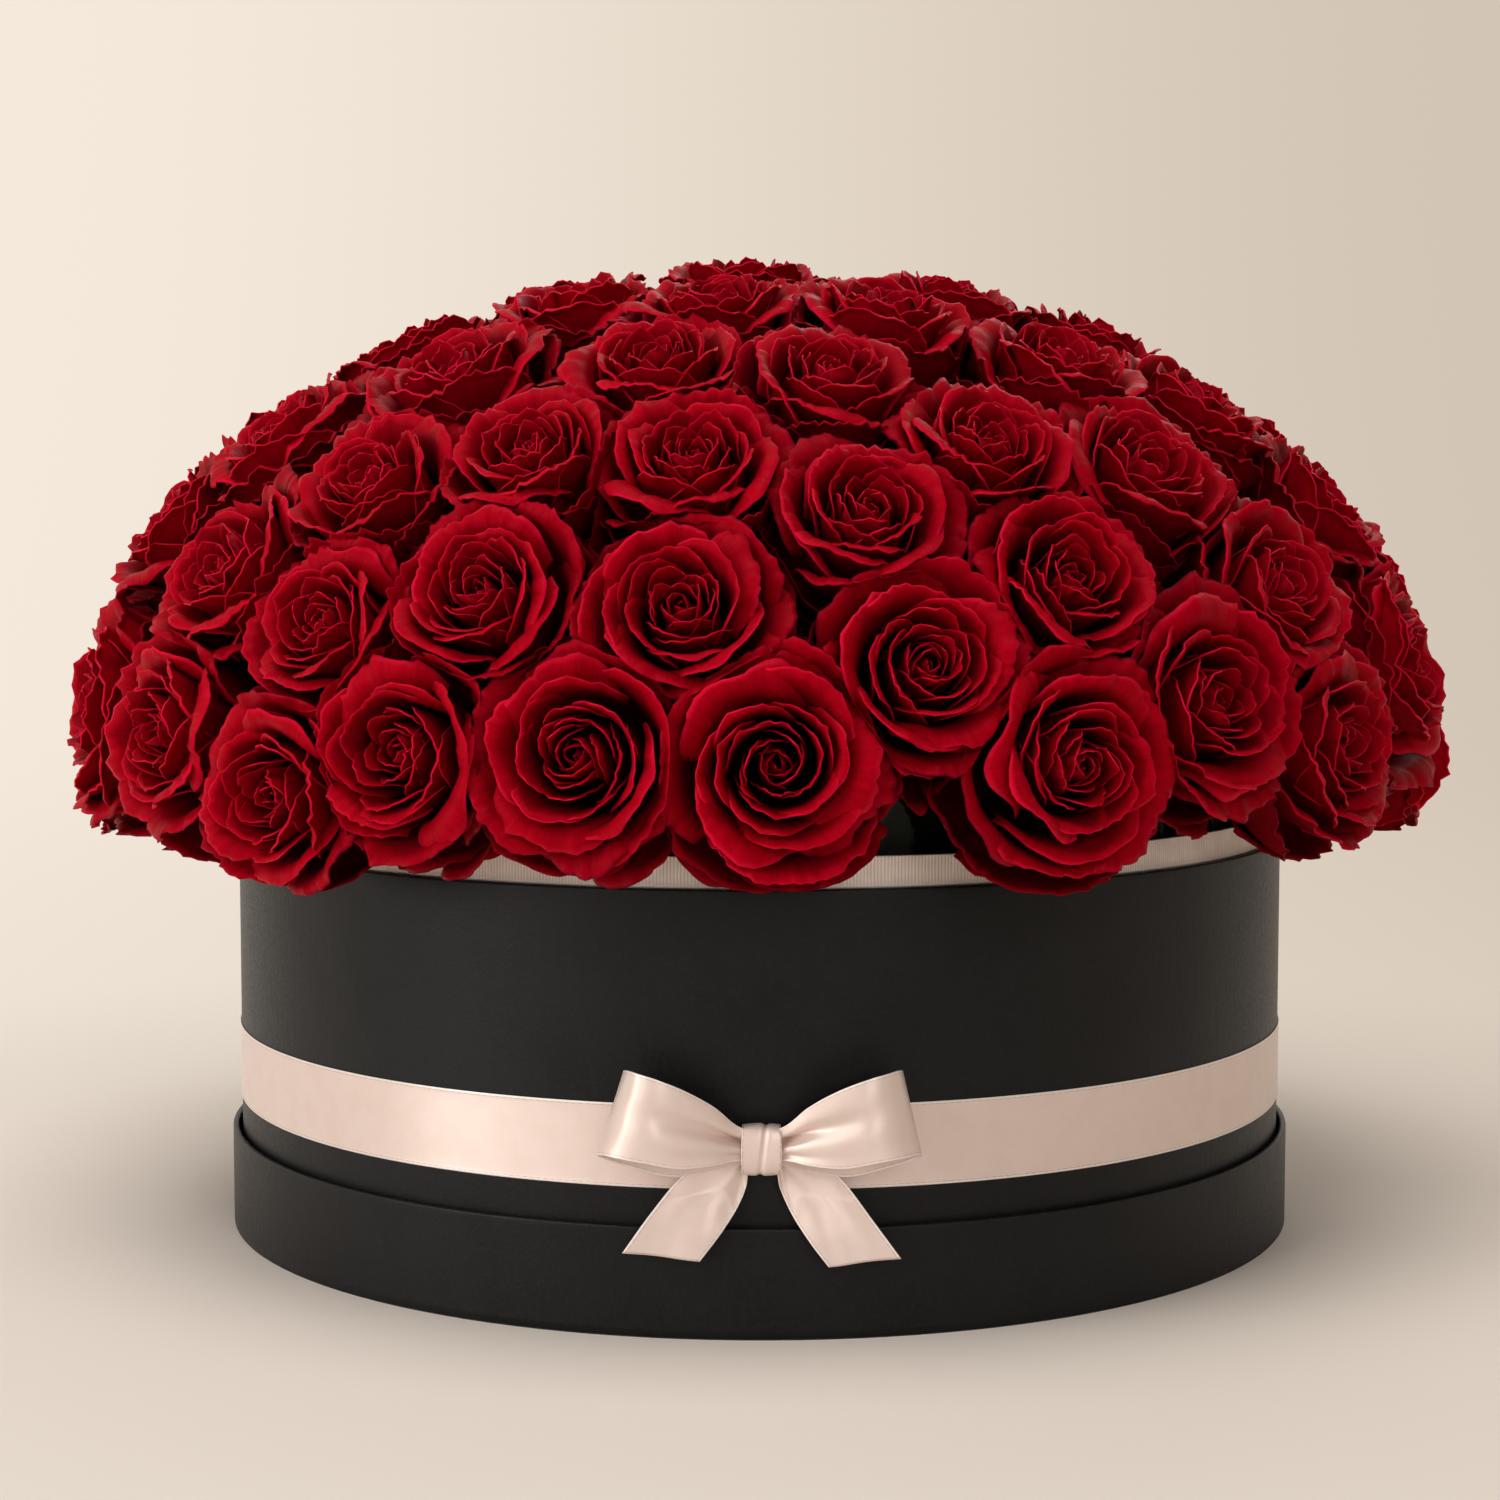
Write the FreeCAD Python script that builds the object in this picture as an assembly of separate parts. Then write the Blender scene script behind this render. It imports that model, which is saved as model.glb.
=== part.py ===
import FreeCAD
import Part
import math
import os
from FreeCAD import Placement, Rotation, Vector

# Round flower box: a paper-covered board box that stands in its own lid, a ribbon with a bow,
# and a lift-out liner of floral foam that carries a dome of roses.
# Millimetres, +Z up, origin on the table under the centre of the box, front towards -Y.

# Board and paper
BOARD = 2.0
PAPER = 0.2
TURN_IN = 20.0

# Tray, which is the lid worn underneath
TRAY_HEIGHT = 32.0
TRAY_BOARD = 1.6
TRAY_CLEARANCE = 1.2

# Box, with a neck that stands out of its wall
BOX_RADIUS = 175.0
BOX_HEIGHT = 126.0
NECK_BOARD = 1.6
NECK_STANDS = 9.0
NECK_RIBBON = 0.4

# Satin ribbon round the wall
RIBBON_WIDTH = 24.0
RIBBON_THICKNESS = 0.35
RIBBON_LIFT = 40.5

# Bow on the front of the ribbon
BOW_STRIP = 0.5
BOW_SLACK = 0.3
PAD_RADIUS = 5.0
PAD_THICKNESS = 1.0
KNOT_WIDTH = 11.5
KNOT_HEIGHT = 13.0
KNOT_DEPTH = 8.6
KNOT_ROUND = 2.6
LOOP_REACH = 46.0
LOOP_BULGE = 14.0
LOOP_END = 10.0
LOOP_RISE = 22.0
LOOP_BROW = 16.7
LOOP_DROP = 7.2
LOOP_LEAN = 0.26
LOOP_PINCH = 1.8
LOOP_FLARE = 2.3
TAIL_REACH = 40.0
TAIL_DROP = 32.0
TAIL_WIDTH = 20.5
TAIL_SLANT = 2.3
TAIL_HIP_OUT = 22.0
TAIL_HIP_DROP = 8.3
TAIL_CROOK_OUT = 9.8
TAIL_CROOK_DROP = 18.0
TAIL_SWING = 2.6
TAIL_SWING_START = 3.0
TAIL_SWING_LENGTH = 9.0

# Liner and foam
LINER_WALL = 0.6
LINER_CLEARANCE = 0.6
LINER_HEIGHT = 130.0
FOAM_CLEARANCE = 0.5
BRICK_HEIGHT = 119.0
BRICK_WIDTH = 112.0
FOAM_DOME_LEDGE = 9.0
FOAM_DOME_RISE = 112.0

# Dome that the faces of the roses lie on
DOME_OVERHANG = 47.0
DOME_EQUATOR = 30.0
DOME_RISE = 154.0

# Roses: the bloom opens as far as its neighbours leave room
BLOOM_RADIUS_MAX = 30.0
BLOOM_GAP = 0.8
PETALS = 5
STEM_RADIUS = 2.8
STEM_CLEARANCE = 0.05
STEM_CUT_DEGREES = 45.0

# Leaves that stand in the gaps of the lowest row
LEAF_LENGTH = 34.0
LEAF_WIDTH = 20.0
LEAF_BELLY = 15.0
LEAF_THICKNESS = 0.8
LEAF_INSET = 4.5
LEAF_LEAN_DEGREES = 9.0
PETIOLE_RADIUS = 1.2
PETIOLE_DEPTH = 14.0

# Where each rose of the front half stands: azimuth from the front and tilt above the horizon, in degrees.
# The back half is the same, half a turn round.
ROSE_ROWS = {
    "row_1": [(-71, 8), (-53, 6), (-39, -2), (-27, 6), (-13, 6), (1, 5),
              (23, 4), (36, 13), (51, 5), (69, 16), (90, -1)],
    "row_2": [(-75, 38), (-51, 31), (-36, 24), (-22, 29), (-6, 27), (12, 19), (25, 31), (47, 29), (89, 27)],
    "row_3": [(-38, 44), (-22, 48), (-6, 47), (9, 40), (22, 49), (39, 46), (71, 41), (91, 51)],
    "row_4": [(-64, 52), (-41, 60), (-13, 61), (8, 59), (43, 62), (62, 56)],
    "row_5": [(-77, 66), (-8, 73), (24, 71), (54, 76), (76, 67)],
    "crown": [(-8, 84), (-43, 74), (97, 78)],
}
STEM_LENGTH = {"row_1": 54.0, "row_2": 58.0, "row_3": 66.0, "row_4": 66.0, "row_5": 66.0, "crown": 66.0}
HALF_TURN = 180.0
GOLDEN_TURN = 137.5

# Levels and radii that follow from the sizes above
TRAY_FACE = BOX_RADIUS + TRAY_CLEARANCE
TRAY_WALL_INNER = TRAY_FACE + PAPER
TRAY_WALL_OUTER = TRAY_WALL_INNER + TRAY_BOARD
TRAY_RADIUS = TRAY_WALL_OUTER + PAPER
BOX_BOTTOM = PAPER + BOARD
FLOOR_TOP = BOX_BOTTOM + BOARD
WALL_TOP = BOX_BOTTOM + BOX_HEIGHT
WALL_OUTER = BOX_RADIUS - PAPER
WALL_INNER = WALL_OUTER - BOARD
NECK_OUTER = WALL_INNER - PAPER
NECK_INNER = NECK_OUTER - NECK_BOARD
NECK_TOP = WALL_TOP + NECK_STANDS
RIBBON_BOTTOM = BOX_BOTTOM + RIBBON_LIFT
RIBBON_RADIUS = BOX_RADIUS + RIBBON_THICKNESS
BOW_HEIGHT = RIBBON_BOTTOM + RIBBON_WIDTH / 2
LINER_OUTER = NECK_INNER - LINER_CLEARANCE
LINER_INNER = LINER_OUTER - LINER_WALL
BRICK_RADIUS = LINER_INNER - FOAM_CLEARANCE
BRICK_BOTTOM = FLOOR_TOP + LINER_WALL
BRICK_TOP = BRICK_BOTTOM + BRICK_HEIGHT
FOAM_DOME_RADIUS = BRICK_RADIUS - FOAM_DOME_LEDGE
DOME_RADIUS = BOX_RADIUS + DOME_OVERHANG
DOME_CENTRE = WALL_TOP + DOME_EQUATOR

UP = Vector(0, 0, 1)
ORIGIN = Vector(0, 0, 0)


# Helpers

def disc(radius, low, high):
    return Part.makeCylinder(radius, high - low, Vector(0, 0, low))


def tube(inner, outer, low, high):
    return disc(outer, low, high).cut(disc(inner, low, high))


def turned(outline):
    """Solid turned about Z from an outline of (radius, height) points."""
    corners = [Vector(radius, 0, height) for radius, height in outline]
    face = Part.Face(Part.makePolygon(corners + corners[:1]))
    return face.revolve(ORIGIN, UP, 360)


def closed_face(*edges):
    return Part.Face(Part.Wire(Part.__sortEdges__(list(edges))))


def line(start, end):
    return Part.LineSegment(start, end).toShape()


def arc(start, middle, end):
    return Part.Arc(start, middle, end).toShape()


def smooth(*points):
    curve = Part.BSplineCurve()
    curve.interpolate(list(points))
    return curve.toShape()


# Tray

def wrap(wall_inner, wall_outer, low, high):
    """Cover paper on a wall: up the outside, over the edge and a little way down the inside."""
    return turned([
        (wall_outer, low), (wall_outer + PAPER, low), (wall_outer + PAPER, high), (wall_inner - PAPER, high),
        (wall_inner - PAPER, high - TURN_IN), (wall_inner, high - TURN_IN), (wall_inner, high - PAPER),
        (wall_outer, high - PAPER),
    ])


def tray_parts():
    return {
        "tray_base_paper": disc(TRAY_RADIUS, 0, PAPER),
        "tray_panel": disc(TRAY_WALL_INNER, PAPER, BOX_BOTTOM),
        "tray_wall": tube(TRAY_WALL_INNER, TRAY_WALL_OUTER, PAPER, TRAY_HEIGHT - PAPER),
        "tray_wrap": wrap(TRAY_WALL_INNER, TRAY_WALL_OUTER, PAPER, TRAY_HEIGHT),
    }


# Box

def box_parts():
    return {
        "box_floor": disc(WALL_INNER, BOX_BOTTOM, FLOOR_TOP),
        "box_wall": tube(WALL_INNER, WALL_OUTER, BOX_BOTTOM, WALL_TOP - PAPER),
        "box_wrap": wrap(WALL_INNER, WALL_OUTER, BOX_BOTTOM, WALL_TOP),
        "neck_ring": tube(NECK_INNER, NECK_OUTER, FLOOR_TOP, NECK_TOP),
        "neck_ribbon": tube(NECK_OUTER, NECK_OUTER + NECK_RIBBON, WALL_TOP, NECK_TOP),
        "ribbon_band": tube(BOX_RADIUS, RIBBON_RADIUS, RIBBON_BOTTOM, RIBBON_BOTTOM + RIBBON_WIDTH),
    }


# Bow: depth is counted outwards from the front of the ribbon, height from the middle of the knot

def bow_point(across, depth, height):
    return Vector(across, -RIBBON_RADIUS - depth, BOW_HEIGHT + height)


TAIL_DEPTH = PAD_THICKNESS + BOW_STRIP + BOW_SLACK
LOOP_DEPTH = TAIL_DEPTH + BOW_STRIP + BOW_SLACK
KNOT_HOLE = KNOT_HEIGHT / 2 - BOW_STRIP - BOW_SLACK
KNOT_MOUTH = KNOT_WIDTH / 2 + BOW_SLACK
TAIL_ROOT = KNOT_HEIGHT / 2 - KNOT_ROUND


def bow_glue_pad():
    reach = RIBBON_RADIUS + PAD_THICKNESS
    rod = Part.makeCylinder(PAD_RADIUS, reach, Vector(0, 0, BOW_HEIGHT), Vector(0, -1, 0))
    return rod.cut(disc(RIBBON_RADIUS, BOW_HEIGHT - KNOT_HEIGHT, BOW_HEIGHT + KNOT_HEIGHT))


def rounded_bar(width, depth, height, near, rounding):
    """Bar across the bow with its long edges rounded, its back at the depth given as near."""
    corner = bow_point(-width / 2, near + depth, -height / 2)
    bar = Part.makeBox(width, depth, height, corner)
    long_edges = [e for e in bar.Edges if abs(e.tangentAt(e.FirstParameter).x) > 0.9]
    return bar.makeFillet(rounding, long_edges)


def bow_knot():
    wall = BOW_STRIP
    sleeve = rounded_bar(KNOT_WIDTH, KNOT_DEPTH, KNOT_HEIGHT, PAD_THICKNESS, KNOT_ROUND)
    hole = rounded_bar(KNOT_WIDTH * 2, KNOT_DEPTH - 2 * wall, KNOT_HEIGHT - 2 * wall,
                       PAD_THICKNESS + wall, KNOT_ROUND - wall)
    return sleeve.cut(hole)


def loop_plan(inset):
    """Outline of a loop from above, drawn in by inset, at the lowest height of the loop."""
    low = -LOOP_DROP - RIBBON_WIDTH / 4
    back = LOOP_DEPTH + inset
    root = bow_point(BOW_SLACK + 2 * inset, back, low)
    heel = bow_point(LOOP_REACH - LOOP_END / 2, back, low)
    toe = bow_point(LOOP_REACH - inset, LOOP_DEPTH + LOOP_END / 2, low)
    shoulder = bow_point(LOOP_REACH - LOOP_END / 2, LOOP_DEPTH + LOOP_END - inset, low)
    crest = bow_point(LOOP_REACH / 2, LOOP_DEPTH + LOOP_BULGE - inset, low)
    neck = bow_point(KNOT_MOUTH, LOOP_DEPTH + LOOP_PINCH + LOOP_FLARE - inset, low)
    tip = bow_point(BOW_SLACK + 2 * inset, LOOP_DEPTH + LOOP_PINCH - inset, low)
    return closed_face(
        line(root, heel), arc(heel, toe, shoulder), smooth(shoulder, crest, neck, tip), line(tip, root))


def loop_front():
    """Outline of a loop from the front: pinched at the knot, as wide as the ribbon at its fold."""
    far = LOOP_REACH + LOOP_END
    root_low = bow_point(0, 0, -KNOT_HOLE + BOW_SLACK)
    mouth_low = bow_point(KNOT_MOUTH, 0, -KNOT_HOLE + BOW_SLACK)
    belly = bow_point(LOOP_REACH / 2, 0, -LOOP_DROP)
    end_low = bow_point(far, 0, LOOP_RISE - RIBBON_WIDTH)
    end_high = bow_point(far, 0, LOOP_RISE)
    brow = bow_point(LOOP_REACH / 2, 0, LOOP_BROW)
    mouth_high = bow_point(KNOT_MOUTH, 0, KNOT_HOLE - BOW_SLACK)
    root_high = bow_point(0, 0, KNOT_HOLE - BOW_SLACK)
    return closed_face(
        line(root_low, mouth_low), arc(mouth_low, belly, end_low), line(end_low, end_high),
        arc(end_high, brow, mouth_high), line(mouth_high, root_high), line(root_high, root_low))


def bow_loop():
    """Right-hand loop: a band round the plan outline, cut to the front outline, its fold leaning in."""
    tall = LOOP_RISE + LOOP_DROP + RIBBON_WIDTH / 2
    lean = Vector(-LOOP_LEAN * tall, 0, tall)
    back_to_upright = Vector(LOOP_LEAN * LOOP_DROP, 0, 0)
    band = loop_plan(0).extrude(lean).cut(loop_plan(BOW_STRIP).extrude(lean))
    band.translate(back_to_upright)
    deep = Vector(0, -2 * (LOOP_DEPTH + LOOP_BULGE), 0)
    return band.common(loop_front().extrude(deep))


def tail_side():
    """Corners of the tail's strip from the side: straight behind the loops, then out past the tray."""
    start = -LOOP_DROP - TAIL_SWING_START
    heights = [TAIL_ROOT, start, start - TAIL_SWING_LENGTH, -TAIL_DROP - TAIL_WIDTH]
    swings = [0, 0, TAIL_SWING, TAIL_SWING]
    near = [bow_point(0, TAIL_DEPTH + swing, height) for swing, height in zip(swings, heights)]
    far = [bow_point(0, TAIL_DEPTH + BOW_STRIP + swing, height) for swing, height in zip(swings, heights)]
    return near + far[::-1]


def tail_front():
    """Outline of a tail from the front: from inside the knot, out of its mouth, down to a slanted cut."""
    top, foot = TAIL_ROOT, -TAIL_ROOT
    inner_end = TAIL_REACH - TAIL_WIDTH
    root_high = bow_point(BOW_SLACK, 0, top)
    mouth_high = bow_point(KNOT_MOUTH, 0, top)
    hip = bow_point(TAIL_HIP_OUT, 0, -TAIL_HIP_DROP)
    outer_cut = bow_point(TAIL_REACH, 0, -TAIL_DROP)
    inner_cut = bow_point(inner_end, 0, -TAIL_DROP - TAIL_SLANT)
    crook = bow_point(TAIL_CROOK_OUT, 0, -TAIL_CROOK_DROP)
    mouth_low = bow_point(KNOT_MOUTH, 0, foot)
    root_low = bow_point(BOW_SLACK, 0, foot)
    return closed_face(
        line(root_high, mouth_high), arc(mouth_high, hip, outer_cut), line(outer_cut, inner_cut),
        arc(inner_cut, crook, mouth_low), line(mouth_low, root_low), line(root_low, root_high))


def bow_tail():
    """Right-hand tail: a strip that swings clear of the tray, cut to the front outline."""
    corners = tail_side()
    side = Part.Face(Part.makePolygon(corners + corners[:1]))
    strip = side.extrude(Vector(TAIL_REACH, 0, 0))
    deep = Vector(0, -2 * (TAIL_DEPTH + TAIL_SWING + BOW_STRIP), 0)
    return strip.common(tail_front().extrude(deep))


def bow_parts():
    loop, tail = bow_loop(), bow_tail()
    across = Vector(1, 0, 0)
    return {
        "bow_glue_pad": bow_glue_pad(),
        "bow_knot": bow_knot(),
        "bow_loop_left": loop.mirror(ORIGIN, across),
        "bow_loop_right": loop,
        "bow_tail_left": tail.mirror(ORIGIN, across),
        "bow_tail_right": tail,
    }


# Liner and foam

def liner():
    inside = disc(LINER_INNER, BRICK_BOTTOM, FLOOR_TOP + LINER_HEIGHT)
    return disc(LINER_OUTER, FLOOR_TOP, FLOOR_TOP + LINER_HEIGHT).cut(inside)


def foam_brick(left, right):
    corner = Vector(left, -BRICK_RADIUS, BRICK_BOTTOM)
    slab = Part.makeBox(right - left, 2 * BRICK_RADIUS, BRICK_HEIGHT, corner)
    return slab.common(disc(BRICK_RADIUS, BRICK_BOTTOM, BRICK_TOP))


def foam_dome():
    """Cap of a sphere that stands on the bricks."""
    curve = (FOAM_DOME_RADIUS ** 2 + FOAM_DOME_RISE ** 2) / (2 * FOAM_DOME_RISE)
    ball = Part.makeSphere(curve, Vector(0, 0, BRICK_TOP + FOAM_DOME_RISE - curve))
    return ball.common(disc(2 * curve, BRICK_TOP, BRICK_TOP + 2 * FOAM_DOME_RISE))


# Bloom, calyx and stem stand on +Z with the face of the bloom at height 0. Shares are of the radius.

MODEL_RADIUS = 25.0
BLOOM_FOOT = -1.40
CALYX_FOOT = -1.80
LOBE_DEPTH = 0.07
# Each whorl: sections from foot to lip as (radius, height), then the foot of the funnel inside it
WHORLS = [
    ([(0.32, BLOOM_FOOT), (0.76, -1.05), (0.90, -0.55), (1.00, -0.15)], (0.50, -0.55)),
    ([(0.60, -0.75), (0.74, -0.30), (0.80, 0.00)], (0.45, -0.30)),
    ([(0.45, -0.50), (0.55, -0.10), (0.58, 0.12)], (0.30, -0.15)),
    ([(0.28, -0.30), (0.37, 0.00), (0.38, 0.18)], (0.15, -0.05)),
]
BUD = [(0.10, -0.20), (0.19, 0.05), (0.12, 0.20)]
LIP = 0.07
HIP = [(0, BLOOM_FOOT), (0.27, BLOOM_FOOT), (0.31, -1.52), (0.25, -1.70), (0.14, CALYX_FOOT), (0, CALYX_FOOT)]
SEPAL_SHELL = [(0.20, -1.53), (0.72, -1.27), (0.74, -1.31), (0.20, -1.59)]
SEPAL_STAR = (0.74, 0.22)


def lobed_wire(radius, height, turn):
    """Closed outline of petals side by side, each an arc between two notches."""
    step = 2 * math.pi / PETALS
    edges = []
    for petal in range(PETALS):
        angles = [turn + (petal + share) * step for share in (0, 0.5, 1)]
        reaches = [radius * (1 - LOBE_DEPTH), radius, radius * (1 - LOBE_DEPTH)]
        edges.append(arc(*[Vector(reach * math.cos(angle), reach * math.sin(angle), height)
                           for reach, angle in zip(reaches, angles)]))
    return Part.Wire(edges)


def lobed_solid(sections, turn):
    size = MODEL_RADIUS
    wires = [lobed_wire(radius * size, height * size, turn) for radius, height in sections]
    return Part.makeLoft(wires, True)


def bloom_model():
    """Nested whorls of petals, each with a funnel inside its lip, round a closed bud."""
    size = MODEL_RADIUS
    bloom = lobed_solid(BUD, 0)
    for number, (sections, (foot_radius, foot_height)) in enumerate(WHORLS):
        lip_radius, lip_height = sections[-1]
        mouth = lip_radius * (1 - LOBE_DEPTH) - LIP / 2
        deep = (lip_height - foot_height) * size
        funnel = Part.makeCone(foot_radius * size, mouth * size, deep, Vector(0, 0, foot_height * size))
        bloom = bloom.fuse(lobed_solid(sections, number * math.pi / PETALS).cut(funnel))
    return bloom


def calyx_model():
    """Urn-shaped hip with a star of sepals spread under the bloom."""
    size = MODEL_RADIUS
    hip = turned([(radius * size, height * size) for radius, height in HIP])
    shell = turned([(radius * size, height * size) for radius, height in SEPAL_SHELL])
    corners = []
    for point in range(2 * PETALS):
        reach = SEPAL_STAR[point % 2] * size
        angle = point * math.pi / PETALS
        corners.append(Vector(reach * math.cos(angle), reach * math.sin(angle), CALYX_FOOT * size))
    star = Part.Face(Part.makePolygon(corners + corners[:1])).extrude(Vector(0, 0, size))
    return hip.fuse(shell.common(star))


def stem_model(radius, length, top):
    """Round stem that hangs from the height given as top, its end cut on the slant."""
    stem = Part.makeCylinder(radius, length, Vector(0, 0, top - length))
    side = 4 * radius
    knife = Part.makeBox(side, side, side, Vector(0, -side / 2, -side))
    knife.rotate(ORIGIN, Vector(0, 1, 0), STEM_CUT_DEGREES)
    knife.translate(Vector(-radius, 0, top - length))
    return stem.cut(knife)


def rose_places():
    """Row, face centre and axis of every rose. The axis is square to the dome."""
    places = []
    for half in (0, HALF_TURN):
        for row, angles in ROSE_ROWS.items():
            for azimuth, tilt in angles:
                around, above = math.radians(azimuth + half), math.radians(tilt)
                level = math.cos(above)
                axis = Vector(level * math.sin(around), -level * math.cos(around), math.sin(above))
                span = math.hypot(DOME_RADIUS * level, DOME_RISE * axis.z)
                wide, tall = DOME_RADIUS ** 2 / span, DOME_RISE ** 2 / span
                face = Vector(wide * axis.x, wide * axis.y, DOME_CENTRE + tall * axis.z)
                places.append((row, face, axis))
    return places


def bloom_radius(number, places):
    face = places[number][1]
    nearest = min(face.distanceToPoint(other[1]) for other in places if other[1] is not face)
    return min(BLOOM_RADIUS_MAX, (nearest - BLOOM_GAP) / 2)


def rose_parts(places):
    """Blooms, calyxes and stems by group, and the holes that the stems make in the foam."""
    bloom, calyx = bloom_model(), calyx_model()
    groups, holes = {}, []
    for number, (row, face, axis) in enumerate(places):
        radius = bloom_radius(number, places)
        place = Placement(face, Rotation(UP, axis) * Rotation(UP, GOLDEN_TURN * number))
        top = CALYX_FOOT * radius
        solids = {
            "bloom": bloom.scaled(radius / MODEL_RADIUS),
            "calyx": calyx.scaled(radius / MODEL_RADIUS),
            "stem": stem_model(STEM_RADIUS, STEM_LENGTH[row], top),
        }
        hole = stem_model(STEM_RADIUS + STEM_CLEARANCE, STEM_LENGTH[row], top)
        hole.Placement = place.multiply(hole.Placement)
        holes.append(hole)
        for kind, solid in solids.items():
            solid.Placement = place.multiply(solid.Placement)
            groups.setdefault((row, kind), []).append(solid)
    return groups, holes


# Leaves

def rim_leaves(places):
    """A leaf in each gap of the lowest row, and the holes that their stalks make in the foam."""
    around = sorted(math.degrees(math.atan2(face.x, -face.y)) for row, face, axis in places if row == "row_1")
    gaps = [(a + b) / 2 for a, b in zip(around, around[1:] + [around[0] + 360])]
    half, thick = LEAF_WIDTH / 2, LEAF_THICKNESS
    foot, tip = Vector(0, 0, 0), Vector(0, 0, LEAF_LENGTH)
    right_edge = arc(foot, Vector(half, 0, LEAF_BELLY), tip)
    left_edge = arc(tip, Vector(-half, 0, LEAF_BELLY), foot)
    blade = closed_face(right_edge, left_edge).extrude(Vector(0, thick, 0))
    blade.translate(Vector(0, -thick / 2, 0))
    deep = Vector(0, 0, -PETIOLE_DEPTH)
    stalk = Part.makeCylinder(PETIOLE_RADIUS, PETIOLE_DEPTH + 2 * PETIOLE_RADIUS, deep)
    leaf = blade.fuse(stalk)
    hole = Part.makeCylinder(PETIOLE_RADIUS + STEM_CLEARANCE, 2 * PETIOLE_DEPTH, deep)
    seat = Vector(0, LEAF_INSET - BRICK_RADIUS, BRICK_TOP)
    leaves, holes = [], []
    for azimuth in gaps:
        turn = Placement(ORIGIN, Rotation(UP, azimuth))
        lean = Placement(seat, Rotation(Vector(1, 0, 0), LEAF_LEAN_DEGREES))
        for made, kept in ((leaf, leaves), (hole, holes)):
            copy = made.copy()
            copy.Placement = turn.multiply(lean)
            kept.append(copy)
    return leaves, holes


# Assembly

def insert_parts():
    """Liner, foam and flowers, which lift out of the box together."""
    places = rose_places()
    groups, stem_holes = rose_parts(places)
    leaves, leaf_holes = rim_leaves(places)
    seam = BRICK_WIDTH / 2
    bricks = {
        "foam_brick_left": foam_brick(-BRICK_RADIUS, -seam),
        "foam_brick_centre": foam_brick(-seam, seam),
        "foam_brick_right": foam_brick(seam, BRICK_RADIUS),
    }
    parts = {name: brick.cut(leaf_holes) for name, brick in bricks.items()}
    parts["liner"] = liner()
    parts["foam_dome"] = foam_dome().cut(stem_holes)
    parts["rim_leaves"] = Part.makeCompound(leaves)
    plural = {"bloom": "blooms", "calyx": "calyxes", "stem": "stems"}
    for (row, kind), solids in groups.items():
        if row == "crown":
            for number, solid in enumerate(solids, 1):
                parts[f"crown_rose_{number}_{kind}"] = solid
        else:
            parts[f"{row}_{plural[kind]}"] = Part.makeCompound(solids)
    return parts


def main():
    os.makedirs("parts", exist_ok=True)
    parts = {**tray_parts(), **box_parts(), **bow_parts(), **insert_parts()}
    for name, shape in parts.items():
        shape.exportStep(f"parts/{name}.step")
        state = "valid" if shape.isValid() else "INVALID"
        print(name, len(shape.Solids), "solids", round(shape.Volume), "mm3", state)


main()
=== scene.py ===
"""Looks of a round flower box: a paper-covered box standing in its lid, a satin ribbon with a bow,
and a dome of deep red roses. Metres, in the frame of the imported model, front towards -Y."""

import math
from collections import namedtuple

import bpy
import numpy as np
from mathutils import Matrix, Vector


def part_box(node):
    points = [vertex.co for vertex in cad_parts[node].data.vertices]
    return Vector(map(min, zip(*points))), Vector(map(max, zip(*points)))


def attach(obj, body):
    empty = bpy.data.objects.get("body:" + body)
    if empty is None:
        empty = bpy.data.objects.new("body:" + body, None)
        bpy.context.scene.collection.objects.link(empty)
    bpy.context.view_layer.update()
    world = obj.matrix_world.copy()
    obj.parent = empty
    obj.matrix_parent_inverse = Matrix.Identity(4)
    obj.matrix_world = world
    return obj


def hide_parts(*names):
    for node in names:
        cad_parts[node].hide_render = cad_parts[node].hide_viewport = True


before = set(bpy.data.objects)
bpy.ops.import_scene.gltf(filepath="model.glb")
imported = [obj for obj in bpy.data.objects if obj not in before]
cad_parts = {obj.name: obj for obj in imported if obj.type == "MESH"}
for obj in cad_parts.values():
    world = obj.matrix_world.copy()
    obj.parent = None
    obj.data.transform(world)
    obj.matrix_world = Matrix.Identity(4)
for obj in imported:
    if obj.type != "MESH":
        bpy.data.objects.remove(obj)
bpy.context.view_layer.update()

MM = 0.001

# Camera: its place, pitch in degrees, and lens and sensor in millimetres
CAMERA_PLACE = (-0.0032, -0.981, 0.230)
CAMERA_PITCH = 85.58
CAMERA_LENS = 69.25
CAMERA_SENSOR = 36.0

# Paper cover of the box and its lid
PAPER = 0.2 * MM
EDGE_ROUND = 0.6 * MM
WALL_BOARD = 2.0 * MM
TRAY_BOARD = 1.6 * MM
TURN_IN = 20 * MM
SEAM_LAP = 14 * MM
ROUND_STEPS = 360
RIM_ANGLES = np.radians(np.arange(0, 91, 15))
RIM_FALL = 3 * EDGE_ROUND
FALL_ROWS = 14

# Ribbons
SELVEDGE = 0.9 * MM
SELVEDGE_BEAD = 0.10 * MM
SELVEDGE_STOPS = (0, 0.3, 0.6, 0.9, 1.6)
RIBBON_THICKNESS = 0.3 * MM
BAND_ROWS = 9
BAND_STEPS = 720
GATHER_FROM = 3 * MM
GATHER_TO = 24 * MM
GATHER_WIDTH = 0.42
GATHER_DEPTH = 0.7 * MM
GATHER_PLEATS = 4
NECK_RIB_PITCH = 1.0 * MM
NECK_RIB_DEPTH = 0.13 * MM
NECK_STEPS_PER_RIB = 4
NECK_RIBBON_THICKNESS = 0.25 * MM
NECK_ROW_HEIGHTS = np.array((0, 0.3, 0.6, 0.9, 1.3, 4.5, 8.2, 8.7, 9.0)) * MM
NECK_THREAD_HEIGHT = 0.55 * MM
NECK_THREAD_HALF = 0.4 * MM
NECK_THREAD_BEAD = 0.12 * MM
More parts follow.
